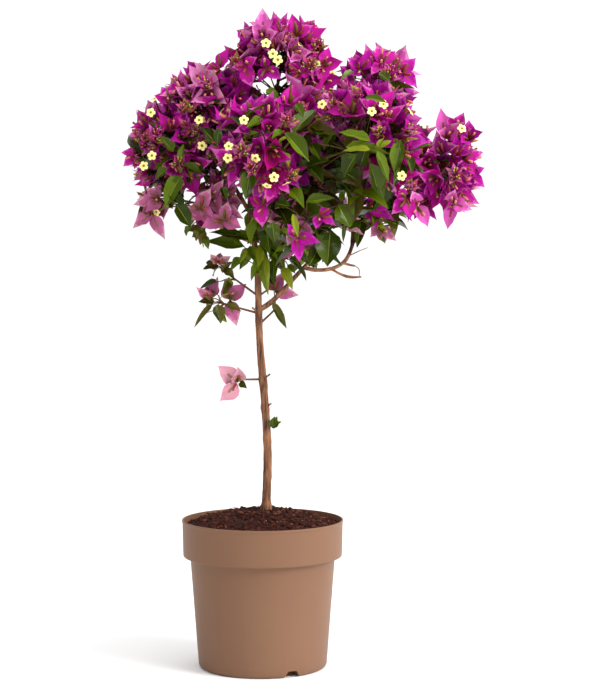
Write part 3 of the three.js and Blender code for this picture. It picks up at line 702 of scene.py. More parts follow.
def make_pot():
    foot, rim, wall, top, edge = (POT[key] for key in ("foot", "rim", "wall", "height", "foot_round"))
    shoulder, band_foot = POT["shoulder"], POT["band_foot"]
    base = 11  # the unseen inner floor, above the foot's notches
    profile = [(0, 0), (foot - edge, 0)]
    profile += [(foot - edge + (edge - 0.1) * math.sin(a), edge * (1 - math.cos(a)))
                for a in (0.4, 0.8, 1.2)]
    profile += [(body_radius(edge), edge)]
    profile += spaced(profile[-1], (body_radius(BAND_FOOT - 2.4), BAND_FOOT - 2.4), 16)
    # The step out to the band, then the band, its rounded rim and the inside.
    profile += [(radius, BAND_FOOT + rise) for radius, rise in (
        (shoulder + 0.2, -1.4), (shoulder + 0.9, -1.0), (band_foot - 1.2, -0.8),
        (band_foot - 0.5, -0.5), (band_foot - 0.1, 0.1), (band_foot, 0.8))]
    profile += spaced(profile[-1], (rim - 0.55, top - 3.0), 8)
    profile += [(rim - inset, top - drop) for inset, drop in (
        (0.25, 2.6), (0, 2.1), (0, 0.7), (0.2, 0.25), (0.6, 0), (wall - 0.4, 0), (wall, 0.4))]
    profile += spaced(profile[-1], (band_foot - wall, BAND_FOOT + wall), 6)
    profile += [(shoulder - wall, BAND_FOOT)]
    profile += spaced(profile[-1], (body_radius(base) - wall, base), 6)
    profile += [(0, base)]
    pot = make_piece("pot_shell", *lathe(profile, POT["sides"]), [POT_PLASTIC])
    bars = [make_piece(f"bar_{index}", *notch_bar(index)) for index in range(NOTCH["count"])]
    for piece in (pot, *bars):
        make_normals_outward(piece.data)
    cut(pot, bars)
    smooth(pot.data)
    pot.data.set_sharp_from_angle(angle=math.radians(32))
    dress(pot, "pot_plastic", "pot")


# ---------------------------------------------------------------- compost


CRUMBS, FIBRES = 2600, 220


def heap_height(x, y):
    """The compost's surface: a low uneven heap about the stem."""
    edge = band_radius(COMPOST["edge"]) - POT["wall"]
    share = min(math.hypot(x, y) / edge, 1)
    height = COMPOST["edge"] + (COMPOST["crown"] - COMPOST["edge"]) * (1 - share ** 1.9)
    place = Vector((x, y, 0))
    lumps = sum(noise.noise(place / size) * tall for size, tall in ((17, 2.6), (6.5, 1.7), (2.6, 1.0)))
    return height + lumps * min(1, (1 - share) * 9 + 0.25) - 0.6


GOLDEN = (1 + math.sqrt(5)) / 2
CRUMB_CORNERS = [Vector(corner).normalized() for corner in (
    (-1, GOLDEN, 0), (1, GOLDEN, 0), (-1, -GOLDEN, 0), (1, -GOLDEN, 0),
    (0, -1, GOLDEN), (0, 1, GOLDEN), (0, -1, -GOLDEN), (0, 1, -GOLDEN),
    (GOLDEN, 0, -1), (GOLDEN, 0, 1), (-GOLDEN, 0, -1), (-GOLDEN, 0, 1))]
CRUMB_FACES = [
    (0, 11, 5), (0, 5, 1), (0, 1, 7), (0, 7, 10), (0, 10, 11), (1, 5, 9), (5, 11, 4),
    (11, 10, 2), (10, 7, 6), (7, 1, 8), (3, 9, 4), (3, 4, 2), (3, 2, 6), (3, 6, 8),
    (3, 8, 9), (4, 9, 5), (2, 4, 11), (6, 2, 10), (8, 6, 7), (9, 8, 1),
]


def crumb(rng, size):
    """A lump of twelve uneven corners."""
    stretch = Vector((rng.uniform(0.6, 1.3), rng.uniform(0.5, 1.0), rng.uniform(0.45, 0.8)))
    turn = Matrix.Rotation(rng.uniform(0, TURN), 3, "Z") @ Matrix.Rotation(rng.uniform(-0.6, 0.6), 3, "X")
    return [turn @ (corner * stretch * size * rng.uniform(0.75, 1.15)) for corner in CRUMB_CORNERS]


def strewn(rng, reach):
    """A random place within reach of the stem."""
    radius = reach * math.sqrt(rng.random())
    return polar(radius, rng.uniform(0, TURN))


def make_compost():
    rings, sides = COMPOST["rings"], COMPOST["sides"]
    edge = band_radius(COMPOST["edge"]) - POT["wall"] - 0.2
    points = [(0, 0, heap_height(0, 0))]
    for i in range(1, rings + 1):
        points += [(x, y, heap_height(x, y)) for x, y, _ in ring(edge * i / rings, 0, sides)]
    # A skirt and a flat bottom close the heap inside the pot.
    points += ring(edge, COMPOST["skirt"], sides) + ring(edge - 8, COMPOST["foot"], sides)
    faces = [(0, 1 + (j + 1) % sides, 1 + j) for j in range(sides)]
    for i in range(rings + 1):
        faces += band(1 + i * sides, 1 + (i + 1) * sides, sides)
    faces.append(tuple(reversed(range(len(points) - sides, len(points)))))
    bed = make_piece("compost_bed", points, faces, [PEAT_TONES["peat_dark"]])
    make_normals_outward(bed.data)
    smooth(bed.data)
    dress(bed, "compost", "compost")

    rng = random.Random(SEED)
    crumbs = Heap(PEAT_TONES)
    for _ in range(CRUMBS):
        x, y = strewn(rng, 0.985 * edge)
        size = 0.7 + 2.3 * rng.random() ** 3  # most are small
        tone = rng.choices(list(PEAT_TONES), (42, 48, 9, 1))[0]
        if tone == "grain":
            size = rng.uniform(0.7, 1.3)
        middle = Vector((x, y, heap_height(x, y) + 0.25 * size))
        crumbs.add(np.array([middle + p for p in crumb(rng, size)]), CRUMB_FACES, tone)
    dress(crumbs.piece("compost_crumbs", is_smooth=False), "compost")

    fibres = Heap(PEAT_TONES)
    for _ in range(FIBRES):
        x, y = strewn(rng, 0.9 * edge)
        heading, length = rng.uniform(0, TURN), rng.uniform(4, 14)
        path = []
        for t in (-0.5, 0, 0.5):
            px = x + t * length * math.cos(heading) + rng.uniform(-1, 1)
            py = y + t * length * math.sin(heading) + rng.uniform(-1, 1)
            path.append((px, py, heap_height(px, py) + rng.uniform(0.3, 1.8)))
        thick = rng.uniform(0.16, 0.42)
        tone = rng.choices(("peat_mid", "peat_light"), (5, 4))[0]
        tube(fibres, Line(path, 3), taper(thick, 0.5 * thick), 4, 5, tone)
    dress(fibres.piece("compost_fibres", is_smooth=False), "compost")

# ---------------------------------------------------------------- the masses' spaces


def ellipsoid_level(point, centre, radii):
    """1 on an ellipsoid, less inside it."""
    return math.hypot(*((p - c) / r for p, c, r in zip(point, centre, radii)))


class Mass:
    """The space of one mass of foliage, and what it carries."""

    def __init__(self, name, index):
        centre, self.radii, self.sprays, self.bloom, self.size, self.look, self.start = MASSES[name]
        self.name, self.seed = name, 101 + 7 * index
        self.centre, self.mean = Vector(centre), sum(self.radii) / 3
        self.borders = []

    def part_from(self, others):
        """The planes between the mass and its neighbours."""
        for other in others:
            if other is self:
                continue
            normal = other.centre - self.centre
            distance = normal.length
            normal /= distance
            power = self.mean ** 2 - other.mean ** 2
            limit = normal.dot(self.centre) + (distance ** 2 + power) / (2 * distance)
            self.borders.append((normal, limit))

    def level(self, point):
        return ellipsoid_level(point, self.centre, self.radii)

    def shell(self, direction):
        return 1 / self.level(self.centre + direction)

    def reach(self, direction):
        """How far the space reaches from the centre in a direction."""
        reach = self.shell(direction)
        for normal, limit in self.borders:
            approach = normal.dot(direction)
            if approach > 0:
                reach = min(reach, (limit - normal.dot(self.centre)) / approach)
        return reach


MASS = {name: Mass(name, index) for index, name in enumerate(MASSES)}
for mass in MASS.values():
    mass.part_from(MASS.values())


def is_open(point):
    """True in the crown's hollow, and where the front view looks through the crown."""
    seen = EYE + (point - EYE) * (EYE.y / (EYE.y - point.y))
    return ellipsoid_level(point, *HOLLOW) < 1 or any(
        math.hypot((seen.x - x) / (half + OPENING_MARGIN), (seen.z - z) / (tall + OPENING_MARGIN)) < 1
        for x, z, half, tall in OPENINGS)


def spread_direction(index, count, turn):
    height = 1 - (2 * index + 1) / count
    return Vector((*polar(math.sqrt(1 - height * height), turn + GOLDEN_ANGLE * index), height))


def seeded(seed):
    """The source's own seeded draw, so that the sprays point the same ways."""
    state = seed

    def draw():
        nonlocal state
        whole = 0xFFFFFFFF
        state = (state + 0x6D2B79F5) & whole
        t = state
        t = ((t ^ (t >> 15)) * (t | 1)) & whole
        t ^= (t + ((t ^ (t >> 7)) * (t | 61))) & whole
        return ((t ^ (t >> 14)) & whole) / 4294967296
    return draw


# ---------------------------------------------------------------- wood


def limb_line(goal, points):
    """A limb's line, which goes on into the mass that it carries."""
    route = [Vector(point) for point in points]
    if goal:
        mass = MASS[goal]
        direction = (route[-1] - mass.centre).normalized()
        route.append(mass.centre + direction * BOUGH_ENTRY * mass.reach(direction))
    return Line(route)


LIMB_LINES = {name: limb_line(goal, points) for name, (_, _, goal, points) in LIMBS.items()}
BARE_SHARE = 0.5  # of the outer bough, in full light under the crown
TRUNK_SPACING, BOUGH_SPACING = 31, 17  # between knots
ROOT_FLARE, FLARE_SHARE = 1.7, 0.035  # of the trunk, above the compost
# Knots that the photo shows on the trunk: (millimetres along, angle, size).
TRUNK_KNOTS = [(110, 0.3, 0.42), (212, -0.4, 0.3), (140, 2.9, 0.26), (292, 1.2, 0.3)]
# Stubs of shed twigs: (limb, share along it, side, length).
STUBS = [
    ("trunk", 0.35, 0.4, 5), ("trunk", 0.445, -0.5, 7), ("trunk", 0.67, 2.6, 6),
    ("trunk", 0.725, 0.0, 8), ("bough_right", 0.55, -1.2, 5), ("bough_right_out", 0.2, 1.6, 4),
]


def bark_relief(seed, knots):
    """Furrows along the wood, and a swollen knot at each (place along, angle, size)."""
    rng = random.Random(seed)
    phases = [rng.uniform(0, TURN) for _ in range(4)]

    def relief(angle, along):
        furrow = 0.045 * math.sin(5 * angle + 0.035 * along + phases[0])
        furrow += 0.03 * math.sin(9 * angle - 0.05 * along + phases[1])
        lumps = noise.noise(Vector((math.cos(angle) * 1.6 + seed, math.sin(angle) * 1.6, along / 9)))
        rough = noise.noise(Vector((math.cos(angle) * 3.5, math.sin(angle) * 3.5 + seed, along / 3)))
        swell = 0.0
        for place, side, size in knots:
            near = math.exp(-((along - place) / 4.2) ** 2)
            swell += size * near * (0.35 + 0.65 * max(0, math.cos(angle - side)))
        return 1 + furrow + 0.07 * lumps + 0.05 * rough + swell
    return relief


def make_wood():
    wood = Heap(WOOD_TONES)
    rng = random.Random(SEED + 1)
    for index, (name, (root, tip, _, _)) in enumerate(LIMBS.items()):
        line = LIMB_LINES[name]
        is_trunk = name == "trunk"
        knots = []
        place = rng.uniform(6, 14)
        while place < line.length - 5:
            size = rng.uniform(0.1, 0.26) if is_trunk else rng.uniform(0.06, 0.2)
            knots.append((place, rng.uniform(0, TURN), size))
            place += (TRUNK_SPACING if is_trunk else BOUGH_SPACING) * rng.uniform(0.6, 1.4)
        if is_trunk:
            knots += TRUNK_KNOTS

        def radius_at(share):
            flare = ROOT_FLARE * max(0, 1 - share / FLARE_SHARE) if is_trunk else 0
            return root + (tip - root) * share + flare
        sides = 30 if is_trunk else 16 if root > 2.5 else 11
        rings = max(6, int(line.length / (1.5 if root > 2 else 2.2)))
        tone = "trunk" if root > 2.5 else "bough"
        if name == "bough_right_out":
            tone = ["bough" if i < BARE_SHARE * rings else "shaded" for i in range(rings + 1)]
        elif root < 2 and name not in ("bare_twig", "bare_stub"):
            tone = "shaded"
        tube(wood, line, radius_at, sides, rings, tone, bark_relief(index, knots))
    for name, share, side, length in STUBS:
        line = LIMB_LINES[name]
        start, heading = line.at(share), line.heading(share)
        out = (heading * 0.5 + Vector((math.cos(side), -abs(math.sin(side)), 0.2))).normalized()
        root = LIMBS[name][0] * 0.8
        path = Line([start, start + out * (root + length * 0.5), start + out * (root + length)], 4)
        tube(wood, path, taper(1.25, 0.9), 9, 8, "trunk", bark_relief(91, []))
    for root, tip, points in BARE_TWIGS:
        tube(wood, Line(points), taper(root, tip), 8, 20, "bough", bark_relief(92, [(8, 1, 0.3)]))
    dress(wood.piece("bark"), "bark", *LIMBS)


# ---------------------------------------------------------------- leaves and flowers


TWIGS = Heap(TWIG_TONES)
LEAVES = Heap(LEAF_TONES)
BRACTS = Heap(BRACT_TONES)
FLOWERS = Heap(FLOWER_TONES)

# Painted light and shade: one half of a leaf takes one of these tones, lighter where its fold would turn it
# to the light, darker where it would turn it away.
LEAF_HALF_LIGHT_AND_SHADE = {
    "deep": ("deep", "mid"), "mid": ("deep", "mid", "bright"), "bright": ("mid", "bright"),
    "young": ("bright", "young"), "shaded": ("shaded", "deep"), "bronze": ("bronze", "deep"),
}
LEAF_DROOP = 0.35
OPEN_SHARE = 0.05  # of the tubes bear a star
PALE_TIPS = 0.4  # of the closed tubes have paled tips
TUBE_WIDTHS = (0.75, 1.15, 0.8, 0.9)
STAR_LOBES = 5
# A star's rings: share of its radius, lift, and how far the four points of a lobe reach.
STAR_RINGS = ((0.28, 1.0, (1, 1, 1, 1)), (0.55, 1.3, (0.8, 1, 1.04, 1)), (1.0, 0.8, (0.7, 0.94, 1, 0.94)))
PAINTED_LIGHT_AND_SHADE_SHARE = 0.7  # of the bracts have painted light as a paler edge, and as many painted shade as a deeper foot
FADED_TONES = ("aged", "pale")
# By a bract's tone: the tone of its painted light on edge and tip, the tones of its painted shade at the
# foot, and the rosettes beside it on a spray.
BRACT_KIN = {
    "magenta": ("bright", ("foot", "deep"), ("purple", "bright")),
    "purple": ("violet", ("foot", "deep"), ("magenta", "violet")),
    "bright": ("light", ("foot", "magenta"), ("magenta", "light")),
    "deep": ("magenta", ("foot",), ("purple", "magenta")),
    "aged": ("pale", ("foot_pale",), ("magenta", "pale")),
    "young": ("aged", ("young",), ()),
    "pale": ("pale", ("foot_pale",), ("aged", "pale")),
    "unripe": ("young", ("unripe",), ()),
    "light": ("pale", ("aged",), ("bright",)),
    "violet": ("light", ("foot", "purple"), ("purple",)),
}


def lay_leaf(rng, root, way, face, length, width, tone, **form):
    """A leaf's blade with its rib; one half of it may be of another tone, painted light or painted shade.
    """
    points = blade_points(LEAF, length, width, rng, **form)
    # painted light and shade: this half is a lighter or darker tone than the rest of the blade
    half = rng.choice(LEAF_HALF_LIGHT_AND_SHADE[tone])
    rib = "rib" if tone in ("deep", "mid", "bright") else tone
    add_blade(LEAVES, LEAF, stand(points, root, way, face), tone, rib=rib, left=half)


def add_leaf(rng, mass, root, along, face, length, width, tone):
    """A leaf on its petiole; along is the way that the petiole leaves the twig."""
    petiole = rng.uniform(0.14, 0.22) * length
    blade_way = (along + Vector((0, 0, -LEAF_DROOP * rng.uniform(0.5, 1.3)))).normalized()
    foot = root + (along * 0.6 + blade_way * 0.4).normalized() * petiole
    tip = foot + blade_way * length
    if mass.level(tip) > 1 or is_open(tip) or is_open(foot.lerp(tip, 0.5)):
        return
    middle = root.lerp(foot, 0.5) + along * 0.06 * petiole
    tube(LEAVES, Line([root, middle, foot + blade_way * 0.04 * length], 2), taper(0.55, 0.43), 4, 2, tone)
    lay_leaf(
        rng, foot, blade_way, face, length, width, tone, widest=0.4, fold=rng.uniform(0.35, 0.8),
        curl=rng.uniform(0.08, 0.34), wave=rng.uniform(0.02, 0.09), vein=0.008 * width)


def add_tube_flower(rng, root, way, length, opened):
    """The slim tube on a bract, with a pale bud at its end or a star where it is open."""
    belly = rng.uniform(1.2, 1.6)
    bend = square_to(way, rng.uniform(0, TURN)) * length * 0.06
    line = Line([root, root + way * length * 0.5 + bend, root + way * length], 2)

    def radius_at(share):
        return belly * float(np.interp(share * 3, range(4), TUBE_WIDTHS))
    tone = rng.choice(("tube_rose", "tube_olive"))
    end = "bud_tip" if not opened and rng.random() < PALE_TIPS else tone
    tube(FLOWERS, line, radius_at, 4, 3, [tone, tone, end, end])
    if opened:
        add_star(rng, line.at(1), line.heading(1))


def add_star(rng, root, way):
    """A cream star of five notched, wavy lobes about a yellow throat."""
    spin, radius = rng.uniform(0, TURN), rng.uniform(4.7, 5.4)
    first, count = square_to(way, spin), STAR_LOBES * 4
    second = way.cross(first)
    points = [root + way * 0.2]
    for index, (share, lift, notches) in enumerate(STAR_RINGS):
        for j in range(count):
            angle = TURN * j / count
            ruffle = 0.35 * index * math.sin(STAR_LOBES * angle + index)
            reach = radius * share * notches[j % 4]
            points.append(root + way * (lift + ruffle * 0.5) + leaning(first, second, angle) * reach)
    faces = []
    for j in range(count):
        k = (j + 1) % count
        faces.append((0, 1 + j, 1 + k))
        faces += [(low + j, low + count + j, low + count + k, low + k) for low in (1, 1 + count)]
    FLOWERS.add(np.array(points), faces, ["star_throat", "star_gold", "star_cream"] * count)


def add_bract(rng, shape, points, tone):
    """A bract with its rib, and often painted light as a paler edge and tip and painted shade as a deeper
    foot.
    """
    edge, shaded_feet, _ = BRACT_KIN[tone]
    others = {"rib": "foot_pale" if tone in FADED_TONES else "foot"}
    if rng.random() < PAINTED_LIGHT_AND_SHADE_SHARE:
        others["edge"] = edge
    if rng.random() < PAINTED_LIGHT_AND_SHADE_SHARE:
        others["heart"] = rng.choice(shaded_feet)
    add_blade(BRACTS, shape, points, tone, **others)


def add_rosette(rng, root, axis, length, width, opening, tone):
    """Three bracts about their flowers."""
    spin = rng.uniform(0, TURN)
    for k in range(3):
        around = square_to(axis, spin + TURN * k / 3 + rng.uniform(-0.15, 0.15))
        angle = opening + rng.uniform(-0.14, 0.14)
        way = leaning(axis, around, angle)
        face = axis * math.sin(angle) - around * math.cos(angle)
        size = rng.uniform(0.85, 1.1)
        points = blade_points(
            BRACT, length * size, width * size * rng.uniform(0.9, 1.1), rng, widest=0.36,
            fold=rng.uniform(0.3, 0.85), curl=rng.uniform(-0.12, 0.24),
            wave=rng.uniform(0.06, 0.15), vein=0.03 * width)
        foot = root + around * 0.5
        add_bract(rng, BRACT, stand(points, foot, way, face), tone)
        lean = (axis * 0.7 + way * 0.6 + face * 0.25).normalized()
        opened = rng.random() < OPEN_SHARE
        add_tube_flower(rng, foot + way * 0.1 * length, lean, 0.6 * length * rng.uniform(0.8, 1.15), opened)


# ---------------------------------------------------------------- the masses' growth


GROWTH = {
    "finer": 2.8, "steps": 12, "outermost": 0.97, "inward": 0.05,
    "arch": 0.12, "joint_at": 0.6, "rise": 0.45,
}
YOUNG_ROSETTES = 5
ROSETTES = []
ROSETTE_GAP = 9.5
WIDEST_BRACT = 0.72  # of its length
SMALL_MASS = 5  # sprays; the shoots below the crown carry no more than the solids do
FIRST_TWIGS = 8  # these are brown and carry the rest
SUNNY = 0.1  # rise of the directions in which a mass in bloom has flowers alone
FADE_TOP, FADE_DEPTH = 535, 60  # the height that bracts fade below, and how far on they have
LONE_LENGTH = 15  # of a lone star's tube
SHIFTED_SHARE = 0.25  # of the rosettes differ from their spray
SIDE_LEAF_SHARE = 0.14  # of the forks bear a small leaf


def pick_tone(rng, look, place):
    """The tone of one spray of bracts: faded ones are old, and low in the crown."""
    low = min(1, max(0, (FADE_TOP - place.z) / FADE_DEPTH))
    fade = {"fresh": 0.12 * low, "mixed": 0.35 + 0.35 * low, "faded": 1.0}[look]
    if rng.random() < fade:
        return rng.choices(FADED_TONES, (3, 1))[0] if look != "faded" else rng.choice(FADED_TONES)
    tones = ("magenta", "purple", "bright", "deep", "light", "violet")
    return rng.choices(tones, (44, 20, 11, 14, 2, 9))[0]


def shifted_tone(rng, tone):
    """Now and then one rosette of a spray differs from the rest."""
    return tone if rng.random() < 1 - SHIFTED_SHARE else rng.choice(BRACT_KIN[tone][2])


def nearest_joint(joints, end):
    """The joint that a twig to the end forks from: the one that it reaches most directly."""
    def cost(joint):
        step = end - joint[0]
        return step.length * (1.6 - 0.6 * step.normalized().dot(joint[1]))
    return min(joints, key=cost)


def twig_line(joint, end):
    start, heading = joint
    middle = start.lerp(end, 0.5) + heading * GROWTH["arch"] * (end - start).length
    return Line([start, middle, end], 5)


def leaf_twig(rng, mass, line, first, last):
    """Leaves that alternate up a twig, closer together where the mass flowers less."""
    place, turn = first * line.length, rng.uniform(0, TURN)
    while place < last * line.length:
        share = place / line.length
        root, heading = line.at(share), line.heading(share)
        turn += 2.4 + rng.uniform(-0.3, 0.3)
        out = (square_to(heading, turn) + heading * rng.uniform(0.4, 0.9)).normalized()
        face = (UP * 0.9 + out * 0.2 + heading * 0.3).normalized()
        length = mass.size * rng.uniform(18, 30 if mass.bloom > 0.8 else 42)
        light = (50, 30, 8, 2, 20) if mass.look == "fresh" else (40, 8, 1, 1, 40)
        # shaded is painted shade; bronze is the faded masses' own leaf colour
        shaded_or_bronze = "shaded" if mass.look == "fresh" else "bronze"
        tone = rng.choices(("deep", "mid", "bright", "young", shaded_or_bronze), light)[0]
        add_leaf(rng, mass, root, out, face, length, length * rng.uniform(0.5, 0.62), tone)
        place += (17 + 52 * mass.bloom) * rng.uniform(0.7, 1.4)


def leafy_tip(rng, mass, end, heading):
    """A shoot's growing tip: a few leaves that spread, with small young ones inside."""
    turn = rng.uniform(0, TURN)
    for k in range(rng.choice((4, 5, 6))):
        turn += GOLDEN_ANGLE
        out = (square_to(heading, turn) + heading * rng.uniform(0.1, 0.8)).normalized()
        face = (UP * 0.8 + heading * 0.5).normalized()
        young = k > 3
        length = mass.size * (rng.uniform(12, 20) if young else rng.uniform(28, 44))
        light = (5, 5, 2, 1) if mass.look == "fresh" else (5, 2, 1, 5)
        tone = "young" if young else rng.choices(("deep", "mid", "bright", "shaded"), light)[0]
        add_leaf(rng, mass, end - heading * 1.2 * k, out, face, length, length * 0.55, tone)


class Cluster:
    """A spray of flowers: finer twigs fork near its end, each with its three bracts."""

    def __init__(self, rng, size):
        count = rng.choices((3, 4, 5), (5, 4, 1))[0] if size > 0.72 else 1
        turn = rng.uniform(0, TURN)
        ripe = rng.random() > 0.03
        self.forks = []
        for k in range(count):
            turn += GOLDEN_ANGLE
            young = not ripe or (k == 0 and rng.random() < 0.05)
            self.forks.append({
                "lean": 0 if k == 0 else rng.uniform(0.5, 1.15),
                "turn": turn,
                "back": (2 + 6 * k) * size,
                "stalk": size * (rng.uniform(5, 9) if k == 0 else rng.uniform(10, 19)),
                "length": size * (rng.uniform(13, 18) if young else rng.uniform(25, 35)),
                "opening": 0.6 if young else rng.uniform(0.42, 0.9),
                "young": young,
            })

    def stand(self, end, heading):
        for fork in self.forks:
            side = square_to(heading, fork["turn"])
            fork["way"] = (heading + side * fork["lean"]).normalized()
            fork["start"] = end - heading * fork["back"]
            fork["foot"] = fork["start"] + fork["way"] * fork["stalk"]

    def fits(self, mass):
        """True if the bracts' tips stay in the mass's space and clear of other rosettes."""
        for fork in self.forks:
            foot, way = fork["foot"], fork["way"]
            for k in range(4):
                side = square_to(way, TURN * k / 4)
                tip = foot + leaning(way, side, fork["opening"]) * fork["length"]
                if mass.level(tip) > 1 or is_open(tip):
                    return False
            if is_open(foot + way * 0.5 * fork["length"]):
                return False
            if any((foot - other).length_squared < ROSETTE_GAP ** 2 for other in ROSETTES):
                return False
        return True

    def grow(self, rng, mass, heading, tone):
        ROSETTES.extend(fork["foot"] for fork in self.forks)
        for fork in self.forks:
            start, foot, way, length = fork["start"], fork["foot"], fork["way"], fork["length"]
            path = Line([start, start.lerp(foot, 0.5) + heading * 1.2, foot], 2)
            tube(TWIGS, path, taper(0.75, 0.55), 5, 4, "green")
            if fork["young"]:
                grow_young(rng, start, foot, way, length)
            else:
                width = length * rng.uniform(0.54, 0.7)
                add_rosette(rng, foot, way, length, width, fork["opening"], shifted_tone(rng, tone))
            if rng.random() < SIDE_LEAF_SHARE:
                out = (square_to(way, rng.uniform(0, TURN)) + way * 0.4).normalized()
                small = mass.size * rng.uniform(12, 24)
                hue = rng.choices(("deep", "mid", "bright", "young"), (3, 4, 2, 1))[0]
                face = (UP + way).normalized()
                add_leaf(rng, mass, start.lerp(foot, 0.4), out, face, small, small * 0.5, hue)


def grow_young(rng, start, foot, way, length):
    """A cluster still in bud: small narrow bracts about slim green-tipped tubes."""
    turn = rng.uniform(0, TURN)
    for k in range(YOUNG_ROSETTES):
        turn += GOLDEN_ANGLE
        axis = (way + square_to(way, turn) * (rng.uniform(0.35, 0.85) if k else 0)).normalized()
        root = start.lerp(foot, 0.55 if k else 1.0)
        size = length * (rng.uniform(0.7, 1.0) if k else 1.0)
        tone = rng.choices(("young", "unripe", "magenta"), (5, 3, 2))[0]
        tube_tone, tip_tone = rng.choice((("tube_rose", "bud_tip"), ("tube_young", "tip_young")))
        for j in range(3):
            around = square_to(axis, turn + TURN * j / 3)
            blade_way = (axis + around * rng.uniform(0.25, 0.6)).normalized()
            face = (facing(blade_way, axis) - around * 0.2).normalized()
            points = blade_points(
                BUD_BRACT, size, 0.5 * size, rng, widest=0.36, fold=0.3, curl=0.05, wave=0.05, vein=0)
            add_bract(rng, BUD_BRACT, stand(points, root, blade_way, face), tone)
            lean = (axis + around * 0.18).normalized()
            line = Line([root, root + lean * 0.35 * size, root + lean * rng.uniform(0.6, 0.85) * size], 1)
            tube(FLOWERS, line, taper(0.7, 0.85), 4, 2, [tube_tone, tube_tone, tip_tone])


def front_place(mass, x, z, share=0.94):
    """The place on the mass's front, a little inside its surface."""
    across = (x - mass.centre.x) / mass.radii[0]
    up = (z - mass.centre.z) / mass.radii[2]
    depth = math.sqrt(max(0.04, share ** 2 - across ** 2 - up ** 2))
    return Vector((x, mass.centre.y - mass.radii[1] * depth, z))


def stalk_from(joints, root, radius):
    start = nearest_joint(joints, root)[0]
    line = Line([start, start.lerp(root, 0.6) + UP * 1.5, root], 4)
    tube(TWIGS, line, taper(radius, 0.6 * radius), 5, 6, "green")


def lone_star(rng, mass, joints, x, z):
    """An open flower that shows by itself."""
    place = front_place(mass, x, z, 0.98)
    way = ((place - mass.centre).normalized() * 0.5 + Vector((0, -1, 0.25))).normalized()
    root = place - way * LONE_LENGTH
    stalk_from(joints, root, 0.7)
    add_tube_flower(rng, root, way, LONE_LENGTH, True)
    ROSETTES.append(place)


def lone_bud(rng, mass, joints, x, z):
    """A cluster in bud that shows by itself."""
    place = front_place(mass, x, z)
    lean = Vector((rng.uniform(-0.3, 0.3), -0.6, 0.7))
    way = ((place - mass.centre).normalized() * 0.4 + lean).normalized()
    foot = place - way * 10
    stalk_from(joints, foot, 0.8)
    grow_young(rng, foot - way * 6, foot, way, rng.uniform(15, 18))
    ROSETTES.append(place)


def lone_leaf(rng, _, joints, *row):
    """A leaf from a given foot to a given tip, on a stalk from the nearest wood."""
    root, tip, (width, tone) = Vector(row[:3]), Vector(row[3:6]), row[6:]
    way = (tip - root).normalized()
    face = facing(way, Vector((0, -0.8 if root.y < 10 else 0.8, 0.6))).normalized()
    stalk_from(joints, root + way, 0.75)
    lay_leaf(
        rng, root, way, face, (tip - root).length, width * 1.12, tone, widest=0.38,
        fold=rng.uniform(0.45, 0.95), curl=rng.uniform(0.02, 0.26), wave=0.12, vein=0.008 * width)


def lone_bracts(rng, _, joints, root, *row):
    """Three bracts from a given foot to given tips, facing out of the crown."""
    *tips, width, tone = row
    root = Vector(root)
    stalk_from(joints, root, 0.9)
    axis = Vector((rng.uniform(-0.5, 0.5), -1, rng.uniform(-0.2, 0.6))).normalized()
    ROSETTES.append(root)
    for tip in tips:
        way, length = (Vector(tip) - root).normalized(), (Vector(tip) - root).length
        points = blade_points(
            BRACT, length, min(width, WIDEST_BRACT * length), rng, widest=0.38,
            fold=rng.uniform(0.3, 0.6), curl=rng.uniform(-0.05, 0.14), wave=0.1, vein=0.03 * width)
        face = facing(way, axis).normalized()
        add_bract(rng, BRACT, stand(points, root + way * 0.4, way, face), tone)
        lean = (axis + way * rng.uniform(0.2, 1.0)).normalized()
        add_tube_flower(rng, root + way * 2, lean, rng.uniform(12, 16), False)


def line_hollow(rng, mass, joints):
    """Shaded leaves on the back wall of the crown's hollow."""
    centre, radii = HOLLOW
    for _ in range(HOLLOW_LEAVES):
        across, up = rng.uniform(-1, 1), rng.uniform(-0.6, 1)
        depth = math.sqrt(max(0.1, 1.2 - across ** 2 - up ** 2))
        root = centre + Vector((across * radii[0], depth * radii[1] * 0.9, up * radii[2]))
        way = Vector((rng.uniform(-1, 1), rng.uniform(-0.7, 0.3), rng.uniform(-0.8, 0.6))).normalized()
        length = rng.uniform(17, 30)
        # painted shade: the hollow's leaves take the shaded and deep tones
        tone = rng.choice(("shaded", "deep"))
        lone_leaf(rng, mass, joints, *root, *(root + way * length), 0.5 * length, tone)


LONE_KINDS = [
    (LONE_BRACTS, lone_bracts), (LONE_LEAVES, lone_leaf), (LONE_STARS, lone_star), (LONE_BUDS, lone_bud),
]


